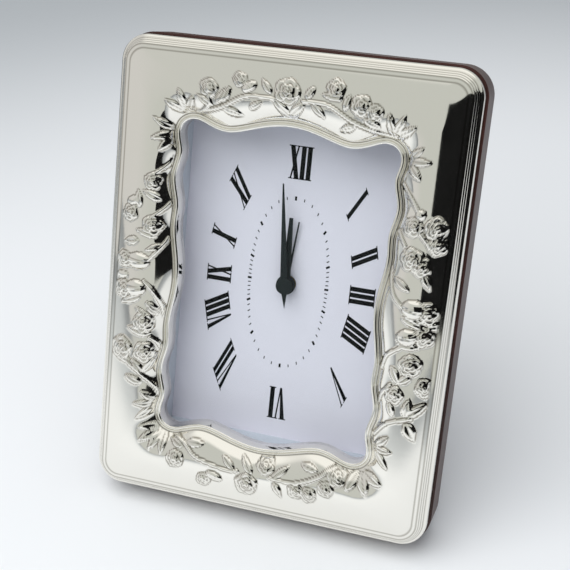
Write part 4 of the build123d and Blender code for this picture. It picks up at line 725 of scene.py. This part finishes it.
def leaf_height(x, y, leaf):
    """Pointed leaf: two swelling halves with a creased vein between them."""
    share, aside = along_and_across(x, y, leaf)
    inside = np.clip(share, LEAF_END, 1 - LEAF_END)
    outline = np.sin(math.pi * inside**LEAF_TAPER) ** LEAF_TAPER
    reach = np.abs(aside) / outline
    rounding = np.sin(math.pi * np.clip(reach / 2 + VEIN_CREASE, 0, 0.5))
    swell = VEIN_HEIGHT + (1 - VEIN_HEIGHT) * rounding
    edge = np.sqrt(np.clip((1 - reach) / LEAF_EDGE, 0, 1))
    held = np.sqrt(np.clip(np.sin(math.pi * inside), 0, 1))
    return np.where((share > 0) & (share < 1), LEAF_RISE * swell * edge * held, 0)


def bud_height(x, y, bud):
    """Closed bud: an egg of wrapped petals with two seams."""
    share, aside = along_and_across(x, y, bud)
    body = np.clip(1 - (2 * share - 1) ** 2 - aside**2, 0, 1)
    seams = SEAM_DEPTH * np.exp(-(((np.abs(aside) - SEAM_SPREAD * share) / SEAM_WIDTH) ** 2))
    return bud[4] * BUD_RISE * np.clip(np.sqrt(body) - seams * (body > SEAM_END), 0, 1)


def stem_height(x, y, stem):
    """Round stem along a smooth line through its points."""
    points = np.array([stem[0], *stem, stem[-1]], float)
    share = np.linspace(0, 1, STEM_STEPS, endpoint=False)[:, None]
    line = [
        0.5 * (
            2 * b + (c - a) * share + (2 * a - 5 * b + 4 * c - d) * share**2
            + (3 * b - 3 * c + d - a) * share**3
        )
        for a, b, c, d in zip(points, points[1:], points[2:], points[3:])
    ]
    line = np.concatenate([*line, points[-1:]])
    nearest = np.full(x.shape, np.inf)
    for start, end in zip(line, line[1:]):
        step = end - start
        share = np.clip(((x - start[0]) * step[0] + (y - start[1]) * step[1]) / (step @ step), 0, 1)
        away = (x - start[0] - share * step[0]) ** 2 + (y - start[1] - share * step[1]) ** 2
        nearest = np.minimum(nearest, away)
    return np.sqrt(np.clip(STEM_RADIUS**2 - nearest, 0, None))


def garland_height(x, y):
    """Height of the pressed garland over the plain sheet."""
    x = (x - GARLAND_SHIFT[0]) / GARLAND_SCALE
    y = (y - GARLAND_SHIFT[1]) / GARLAND_SCALE
    height = np.zeros_like(x)
    forms = ((stem_height, STEMS), (leaf_height, LEAVES), (bud_height, BUDS), (rose_height, ROSES))
    for form, pieces in forms:
        for piece in pieces:
            height = np.maximum(height, form(x, y, piece))
    return height


def front_rings():
    """Rings of the front from the skirt in over the lip and back under the sheet.

    With them come the first ring that carries the garland, the one after its last, and those in the grooves.
    """
    opening = opening_rings()
    rings = [(rectangle_ring(0, OUTER_CORNER), 0.0), (rectangle_ring(0, OUTER_CORNER), SKIRT_HEIGHT / 2)]
    grooves = []
    for (start, low, bulge, steps), (end, high, _, _) in zip(BORDER_MOULDINGS, BORDER_MOULDINGS[1:]):
        grooves.append(len(rings))
        for step in range(steps):
            share = step / steps
            lift = bulge * math.sin(math.pi * share)
            inset = start + share * (end - start) - lift
            height = SKIRT_HEIGHT + low + share * (high - low) + lift
            rings.append((rectangle_ring(inset, OUTER_CORNER - inset), height))
    first = len(rings)
    grooves.append(first)
    border_corner = OUTER_CORNER - BORDER_WIDTH
    for step in range(DOME_RINGS):
        share = step / DOME_RINGS
        inset = BORDER_WIDTH + share * (CREST_INSET - BORDER_WIDTH)
        corner = border_corner + share * (CREST_CORNER - border_corner)
        rings.append((rectangle_ring(inset, corner), BORDER_HEIGHT + CREST_RISE * (1 - (1 - share) ** 2)))
    crest = rectangle_ring(CREST_INSET, CREST_CORNER)
    foot = opening(FOOT_GROW)
    for step in range(SLOPE_RINGS + 1):
        share = step / SLOPE_RINGS
        rings.append(((1 - share) * crest + share * foot, CREST_HEIGHT - BASIN_DEPTH * share**BASIN_CURVE))
    last = len(rings)
    for share, rise in LIP_BEAD:
        rings.append((opening(LIP_WIDTH + share * LIP_BEAD_WIDTH), FOOT_HEIGHT + rise))
    half = LIP_WIDTH / 2
    for step in range(LIP_RINGS + 1):
        turn = math.pi * (1 - step / LIP_RINGS)
        rings.append((opening(half - half * math.cos(turn)), LIP_HEIGHT + LIP_ROUND * (math.sin(turn) - 1)))
    inner_skirt = rectangle_ring(SHEET, OUTER_CORNER - SHEET)
    rings += [
        (opening(0), LIP_HEIGHT / 2), (opening(0), WALL_FOOT), (opening(SHEET), WALL_FOOT),
        (opening(SHEET), LIP_HEIGHT - LIP_ROUND - SHEET), (foot, FOOT_HEIGHT - SHEET),
        (crest, CREST_HEIGHT - SHEET),
        (rectangle_ring(BORDER_WIDTH + SHEET, border_corner), BORDER_HEIGHT - SHEET),
        (inner_skirt, SKIRT_HEIGHT - SHEET / 2), (inner_skirt, 0.0),
    ]
    return rings, first, last, grooves


class CLOCK_OT_silver_front(bpy.types.Operator):
    """Press the silver front with its border, garland and lip"""

    bl_idname = "clock.silver_front"
    bl_label = "Silver front"

    def execute(self, context):
        settings = context.scene.clock_silver
        rings, first, last, grooves = front_rings()
        plan = np.array([ring for ring, _ in rings])
        heights = np.array([np.full(len(ring), height) for ring, height in rings])
        relief = garland_height(plan[first:last, :, 0], plan[first:last, :, 1])
        order = np.arange(last - first)
        fade = np.clip(np.minimum(order, order[::-1]) / FADE_RINGS, 0, 1)
        heights[first:last] += settings.relief * relief * fade[:, None]
        count, around = heights.shape
        number = np.arange(count * around).reshape(count, around)
        inner, ahead = np.roll(number, -1, 0), np.roll(number, -1, 1)
        inner_ahead = np.roll(inner, -1, 1)
        faces = np.stack([number, inner, inner_ahead, ahead], -1).reshape(-1, 4).tolist()
        points = np.concatenate([plan, heights[:, :, None]], -1).reshape(-1, 3)
        piece = new_piece("silver_relief", points, faces, pressed_silver(settings), smooth=True)
        around_mean = (np.roll(heights, 1, 1) + np.roll(heights, -1, 1)) / 2
        ring_mean = (np.roll(heights, 1, 0) + np.roll(heights, -1, 0)) / 2
        hollow = np.zeros_like(heights)
        hollow[first:last] = ((around_mean + ring_mean) / 2 - heights)[first:last]
        dark = np.clip(hollow / RECESS_DEPTH, 0, 1)
        dark[grooves] = GROOVE_TARNISH
        recess = piece.data.attributes.new("recess", "FLOAT", "POINT")
        recess.data.foreach_set("value", dark.ravel().astype(np.float32))
        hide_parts("silver_front")
        return {"FINISHED"}


class CLOCK_OT_woodwork(bpy.types.Operator):
    """Stain and lacquer the wood frame, the back panel and the strut"""

    bl_idname = "clock.woodwork"
    bl_label = "Woodwork"

    def execute(self, context):
        settings = context.scene.clock_wood
        coat(stained_mahogany("mahogany_stained_rails", settings, mitred=True), "wood_frame")
        coat(stained_mahogany("mahogany_stained_boards", settings, mitred=False), "back_panel", "strut")
        return {"FINISHED"}


class CLOCK_OT_glass(bpy.types.Operator):
    """Glaze the opening"""

    bl_idname = "clock.glass"
    bl_label = "Glass"

    def execute(self, context):
        coat(float_glass(), "glass_pane")
        return {"FINISHED"}


def letter_strokes(letter, stroke, hairline):
    """Outlines of a letter, in millimetres across and shares of its height up, and its serifs.

    A serif has its middle, half the width of its stroke, and the end of the letter at which it stands.
    """
    half, thin = stroke / 2, hairline / 2
    if letter == "I":
        return [((-half, 0), (half, 0), (half, 1), (-half, 1))], [(0, half, 0), (0, half, 1)]
    spread = LETTER_ADVANCE[letter] / 2 - half
    if letter == "V":
        thick = ((-spread - half, 1), (-spread + half, 1), (half / 2, 0), (-thin, 0))
        slim = ((spread - thin, 1), (spread + thin, 1), (half / 2, 0), (0, 0))
        return [thick, slim], [(-spread, half, 1), (spread, thin, 1)]
    thick = ((-spread - half, 1), (-spread + half, 1), (spread + half, 0), (spread - half, 0))
    slim = ((spread - thin, 1), (spread + thin, 1), (-spread + thin, 0), (-spread - thin, 0))
    serifs = [(-spread, half, 1), (spread, half, 0), (spread, thin, 1), (-spread, thin, 0)]
    return [thick, slim], serifs


def numeral_place(hour):
    """Base centre, top centre and reading direction of an hour's numeral."""
    if hour in NUMERAL_PLACES:
        base, top, reading = NUMERAL_PLACES[hour]
        return np.add(base, NUMERAL_SHIFT), np.add(top, NUMERAL_SHIFT), np.array(reading)
    base, top, reading = NUMERAL_PLACES[12 - hour]
    mirror = np.array((-1, 1))
    return mirror * base + LEFT_SHIFT, mirror * top + LEFT_SHIFT, -mirror * reading


def numeral_outlines(hour, stroke, hairline):
    """Outlines of a numeral's strokes and serifs on the dial, with the height of the ink on each."""
    base, top, reading = numeral_place(hour)
    rise = top - base
    serif_share = SERIF_HEIGHT / np.linalg.norm(rise)
    letters = NUMERALS[hour]
    pen = -sum(LETTER_ADVANCE[letter] for letter in letters) / 2
    outlines = []
    for letter in letters:
        middle = pen + LETTER_ADVANCE[letter] / 2
        strokes, serifs = letter_strokes(letter, stroke, hairline)
        for centre, half, end in serifs:
            reach = half + SERIF_REACH
            inside = end + serif_share * (1 - 2 * end)
            left, right = centre - reach, centre + reach
            strokes.append(((left, end), (right, end), (right, inside), (left, inside)))
        for layer, corners in enumerate(strokes):
            outline = [base + rise * up + reading * (middle + across) for across, up in corners]
            outlines.append((outline, INK_HEIGHT * (1 - INK_STEP * layer)))
        pen += LETTER_ADVANCE[letter]
    return outlines


def track_outlines():
    """Outlines of the sixty ticks on the oval minute track."""
    outlines = []
    for minute in range(60):
        angle = math.radians(6 * minute)
        out = np.array((math.sin(angle), math.cos(angle)))
        side = np.array((out[1], -out[0]))
        away = np.sum((np.abs(out) / TRACK_HALF) ** TRACK_POWER) ** (-1 / TRACK_POWER)
        length, width = TICK_LENGTH, TICK_WIDTH
        if minute % 5 == 0:
            length, width = HOUR_TICK_LENGTH, HOUR_TICK_WIDTH
        inner, outer = (away - length / 2) * out, (away + length / 2) * out
        wide = side * width / 2
        outlines.append(([inner - wide, inner + wide, outer + wide, outer - wide], INK_HEIGHT))
    return outlines


def print_ink(name, outlines, material):
    """Thin raised prints on the dial from their outlines."""
    points, faces = [], []
    for outline, height in outlines:
        start, count = len(points), len(outline)
        area = sum(a[0] * b[1] - b[0] * a[1] for a, b in zip(outline, outline[1:] + outline[:1]))
        if area < 0:
            outline = outline[::-1]
        points += [(*corner, DIAL_FACE) for corner in outline]
        points += [(*corner, DIAL_FACE + height) for corner in outline]
        foot = list(range(start, start + count))
        head = [place + count for place in foot]
        faces += [foot[::-1], head]
        faces += [[foot[k], foot[(k + 1) % count], head[(k + 1) % count], head[k]] for k in range(count)]
    return new_piece(name, points, faces, material, smooth=False)


class CLOCK_OT_dial(bpy.types.Operator):
    """Print the dial and finish the cards round and behind it"""

    bl_idname = "clock.dial"
    bl_label = "Dial"

    def execute(self, context):
        settings = context.scene.clock_dial
        # Coated card: matt and even, with a trace of fibre.
        coat(speckled(
            "card_coated_printed", settings.card, shaded(settings.card, 0.97), 0.6, bump=0.05,
            Roughness=0.6, IOR=1.5,
        ), "dial")
        # Cut card: soft white edges that scatter light on to the dial.
        coat(speckled(
            "card_white_cut", settings.spacer, shaded(settings.spacer, 0.93), 0.8, bump=0.15,
            Roughness=0.85, IOR=1.45,
        ), "spacer_frame")
        # Hardboard: brown pressed fibres.
        coat(speckled(
            "hardboard_pressed", linear("#5A3F2A"), linear("#8A6543"), 0.7, detail=6.0, bump=0.5,
            Roughness=0.8, IOR=1.45,
        ), "dial_plate")
        # Screen ink: a dense black film, a little glossier than the card.
        ink = speckled(
            "ink_screen_printed", settings.ink, shaded(settings.ink, 1.5), 0.5, bump=0.05,
            Roughness=0.6, IOR=1.5, Specular_IOR_Level=0.05,
        )
        numerals = []
        for hour in NUMERALS:
            numerals += numeral_outlines(hour, settings.stroke / MM, settings.hairline / MM)
        print_ink("dial_numerals", numerals, ink)
        print_ink("minute_track", track_outlines(), ink)
        return {"FINISHED"}


class CLOCK_OT_hands(bpy.types.Operator):
    """Paint the three hands"""

    bl_idname = "clock.hands"
    bl_label = "Hands"

    def execute(self, context):
        settings = context.scene.clock_dial
        # Sprayed paint on stamped sheet: matt charcoal with a fine orange peel.
        coat(speckled(
            "paint_charcoal_sprayed", settings.hands, shaded(settings.hands, 1.25), 0.4, bump=0.1,
            Roughness=0.55, IOR=1.5, Specular_IOR_Level=0.08,
        ), "minute_hand", "hour_hand", "alarm_hand")
        return {"FINISHED"}


class CLOCK_OT_hardware(bpy.types.Operator):
    """Finish the brass hinge and clips, the screws and the other plated steel"""

    bl_idname = "clock.hardware"
    bl_label = "Hardware"

    def execute(self, context):
        settings = context.scene.clock_works
        # Stamped brass: warm metal, dulled in soft patches by handling.
        coat(speckled(
            "brass_stamped", settings.brass, shaded(settings.brass, 0.75), 3.0, bump=0.05,
            Metallic=1.0, Roughness=0.32,
        ), "fixed_leaf", "moving_leaf", "centre_bush", "minute_arbor", "clip_top_left", "clip_top_right",
            "clip_bottom_left", "clip_bottom_right")
        # Zinc-plated steel: pale bluish metal with a fine spangle.
        coat(speckled(
            "steel_zinc_plated", settings.steel, shaded(settings.steel, 0.8), 0.6, bump=0.08,
            Metallic=1.0, Roughness=0.36,
        ), "hinge_pin", "clip_screws", "panel_screws", "strut_screws", "movement_screws", "contact_left",
            "contact_right", "crystal", "stator", "coil_core", "buzzer")
        return {"FINISHED"}


class CLOCK_OT_movement(bpy.types.Operator):
    """Finish the movement's case, knobs, wheels, coil and board"""

    bl_idname = "clock.movement"
    bl_label = "Movement"

    def execute(self, context):
        settings = context.scene.clock_works
        # Moulded ABS: black with the fine grain of an eroded mould.
        coat(speckled(
            "abs_moulded_black", settings.case, shaded(settings.case, 1.5), 0.35, bump=0.35,
            Roughness=0.5, IOR=1.54,
        ), "movement_case", "movement_back", "set_knob", "alarm_knob", "alarm_switch")
        # Moulded acetal: milky white, smooth and slightly waxy.
        coat(speckled(
            "acetal_moulded", settings.wheels, shaded(settings.wheels, 0.9), 1.5, bump=0.05,
            Roughness=0.35, IOR=1.48,
        ), "coil_bobbin", "rotor", "intermediate_wheel", "seconds_wheel", "third_wheel", "centre_wheel",
            "minute_wheel", "hour_wheel", "alarm_wheel")
        # Solder mask on glass fibre board: glossy green over the faint weave of the cloth.
        coat(speckled(
            "board_solder_masked", settings.board, shaded(settings.board, 0.6), 1.2, bump=0.2,
            Roughness=0.3, IOR=1.55,
        ), "circuit_board")
        # Poured epoxy: a glossy black blob with slow waves.
        coat(speckled(
            "epoxy_poured", linear("#0C0C0E"), linear("#1A1A1D"), 2.0, bump=0.3, Roughness=0.16, IOR=1.55,
        ), "chip_cover")
        coat(wound_copper(), "coil_winding")
        coat(sleeved_cell(), "battery")
        return {"FINISHED"}


def paper_with_painted_light(settings):
    """Background paper, matt, with painted light: white round the clock and to its right.

    It is painted greyer away from the clock as shade, standing for the lamp's light falling off.
    """
    material, tree, where = new_finish("paper_matt_painted_light")
    away = add_node(tree, "ShaderNodeVectorMath", {0: where, 1: PAINTED_LIGHT_CENTRE}, operation="DISTANCE")
    share = add_node(tree, "ShaderNodeMapRange", {
        "Value": away.outputs["Value"], "From Min": PAINTED_LIGHT_FADE[0], "From Max": PAINTED_LIGHT_FADE[1],
    }, interpolation_type="SMOOTHSTEP")
    fibres = add_node(tree, "ShaderNodeTexNoise", {"Vector": where, "Scale": grain(1.5), "Detail": 2.0})
    # Painted light and shade: white near the clock, grey farther out where the lamp's light falls off.
    colour = add_node(tree, "ShaderNodeMix", {
        MIX_FACTOR: share.outputs["Result"],
        MIX_FIRST: opaque(settings.floor),
        MIX_SECOND: opaque(settings.far_floor_painted_shade),
    }, data_type="RGBA")
    nap = add_node(tree, "ShaderNodeBump", {
        "Height": fibres.outputs["Fac"], "Strength": 0.02, "Distance": 0.05 * MM,
    })
    paper = add_node(tree, "ShaderNodeBsdfPrincipled", {
        "Base Color": colour.outputs[MIX_RESULT], "Roughness": 0.9, "IOR": 1.45, "Specular IOR Level": 0.1,
        "Normal": nap.outputs["Normal"],
    })
    add_node(tree, "ShaderNodeOutputMaterial", {"Surface": paper.outputs[0]})
    return material


def new_stage_piece(name, points, faces, material):
    """A mesh of the stage, from points of the scene in metres."""
    mesh = bpy.data.meshes.new(name)
    mesh.from_pydata(points, [], faces)
    mesh.materials.append(material)
    piece = bpy.data.objects.new(name, mesh)
    bpy.context.scene.collection.objects.link(piece)
    return piece


class CLOCK_OT_stage(bpy.types.Operator):
    """Lay the floor, light the clock and set the camera"""

    bl_idname = "clock.stage"
    bl_label = "Stage"

    def execute(self, context):
        scene = context.scene
        settings = scene.clock_stage
        half = settings.floor_size / 2
        corners = [(-half, -half, 0), (half, -half, 0), (half, half, 0), (-half, half, 0)]
        new_stage_piece("floor", corners, [(0, 1, 2, 3)], paper_with_painted_light(settings))
        self.hang_cards(settings)
        self.light_room(scene, settings)
        self.hang_lamp(scene, settings)
        camera = bpy.data.cameras.new("camera")
        camera.lens = settings.lens
        eye = bpy.data.objects.new("camera", camera)
        place, aim = (Vector(point) for point in to_world((CAMERA_PLACE, CAMERA_AIM)))
        eye.location = place
        eye.rotation_euler = (aim - place).to_track_quat("-Z", "Y").to_euler()
        scene.collection.objects.link(eye)
        scene.camera = eye
        scene.view_settings.view_transform = "Standard"
        return {"FINISHED"}

    def hang_cards(self, settings):
        """Curved dark cards that show in mirrors alone."""
        # Flocked card: black with a soft nap, so it mirrors as plain dark.
        flock = speckled(
            "card_black_flocked", linear("#050505"), linear("#0A0A0B"), 1.0, Roughness=0.95, IOR=1.4,
        )
        points, faces = [], []
        for radius, start, end, start_foot, end_foot, head in CARDS:
            first = len(points)
            for step in range(settings.card_steps + 1):
                share = step / settings.card_steps
                angle = math.radians(start + share * (end - start))
                x, y = radius * math.sin(angle), -radius * math.cos(angle)
                points += [(x, y, start_foot + share * (end_foot - start_foot)), (x, y, head)]
            for place in range(first, len(points) - 2, 2):
                faces.append((place, place + 1, place + 3, place + 2))
        card = new_stage_piece("dark_cards", points, faces, flock)
        card.visible_camera = False
        card.visible_diffuse = False
        card.visible_shadow = False
        card.visible_transmission = False

    def light_room(self, scene, settings):
        """Pale room that mirrors see at full strength and that lights the rest more softly."""
        world = bpy.data.worlds.new("pale_room")
        world.use_nodes = True
        tree = world.node_tree
        tree.nodes.clear()
        where = add_node(tree, "ShaderNodeTexCoord")
        axes = add_node(tree, "ShaderNodeSeparateXYZ", {"Vector": where.outputs["Generated"]})
        front = add_node(tree, "ShaderNodeMapRange", {
            "Value": axes.outputs["X"], "From Min": LEFT_WALL_SPAN[0], "From Max": LEFT_WALL_SPAN[1],
        }, interpolation_type="SMOOTHSTEP")
        walls = add_node(tree, "ShaderNodeMix", {
            MIX_FACTOR: front.outputs["Result"],
            MIX_FIRST: opaque(settings.side_wall),
            MIX_SECOND: opaque(settings.room),
        }, data_type="RGBA")
        overhead = add_node(tree, "ShaderNodeMapRange", {
            "Value": axes.outputs["Z"], "From Min": CEILING_SPAN[0], "From Max": CEILING_SPAN[1],
        }, interpolation_type="SMOOTHSTEP")
        surroundings = add_node(tree, "ShaderNodeMix", {
            MIX_FACTOR: overhead.outputs["Result"],
            MIX_FIRST: walls.outputs[MIX_RESULT],
            MIX_SECOND: opaque(settings.ceiling),
        }, data_type="RGBA")
        seen = add_node(tree, "ShaderNodeBackground", {
            "Color": surroundings.outputs[MIX_RESULT], "Strength": 1.0,
        })
        soft = add_node(tree, "ShaderNodeBackground", {
            "Color": opaque(settings.sky), "Strength": settings.ambient,
        })
        path = add_node(tree, "ShaderNodeLightPath")
        direct = add_node(tree, "ShaderNodeMath", {
            0: path.outputs["Is Camera Ray"], 1: path.outputs["Is Glossy Ray"],
        }, operation="MAXIMUM")
        any_view = add_node(tree, "ShaderNodeMath", {
            0: direct.outputs[0], 1: path.outputs["Is Transmission Ray"],
        }, operation="MAXIMUM")
        mixed = add_node(tree, "ShaderNodeMixShader", {
            0: any_view.outputs[0], 1: soft.outputs[0], 2: seen.outputs[0],
        })
        add_node(tree, "ShaderNodeOutputWorld", {"Surface": mixed.outputs[0]})
        scene.world = world

    def hang_lamp(self, scene, settings):
        """One large soft lamp over the front."""
        lamp = bpy.data.lights.new("key_lamp", "AREA")
        lamp.energy = settings.key_power
        lamp.size = KEY_SIDE
        light = bpy.data.objects.new("key_lamp", lamp)
        light.location = KEY_PLACE
        light.rotation_euler = (Vector(KEY_AIM) - Vector(KEY_PLACE)).to_track_quat("-Z", "Y").to_euler()
        light.visible_glossy = False
        scene.collection.objects.link(light)


OPERATORS = (
    CLOCK_OT_silver_front,
    CLOCK_OT_woodwork,
    CLOCK_OT_glass,
    CLOCK_OT_dial,
    CLOCK_OT_hands,
    CLOCK_OT_hardware,
    CLOCK_OT_movement,
    CLOCK_OT_stage,
)


class CLOCK_PT_sidebar(bpy.types.Panel):
    """Lists the clock's settings and its pieces"""

    bl_idname = "CLOCK_PT_sidebar"
    bl_label = "Photo frame clock"
    bl_space_type = "VIEW_3D"
    bl_region_type = "UI"
    bl_category = "Clock"

    def draw(self, context):
        for group in GROUPS:
            box = self.layout.box()
            for setting in GROUPS[group].__annotations__:
                box.prop(getattr(context.scene, group), setting)
        for operator in OPERATORS:
            self.layout.operator(operator.bl_idname)


CLASSES = (*GROUPS.values(), *OPERATORS, CLOCK_PT_sidebar)


def register():
    for item in CLASSES:
        bpy.utils.register_class(item)
    for group, settings in GROUPS.items():
        setattr(bpy.types.Scene, group, PointerProperty(type=settings))


def unregister():
    for group in GROUPS:
        delattr(bpy.types.Scene, group)
    for item in reversed(CLASSES):
        bpy.utils.unregister_class(item)


def main():
    register()
    for operator in OPERATORS:
        name = operator.bl_idname.split(".")[1]
        getattr(bpy.ops.clock, name)()


if __name__ == "__main__":
    main()
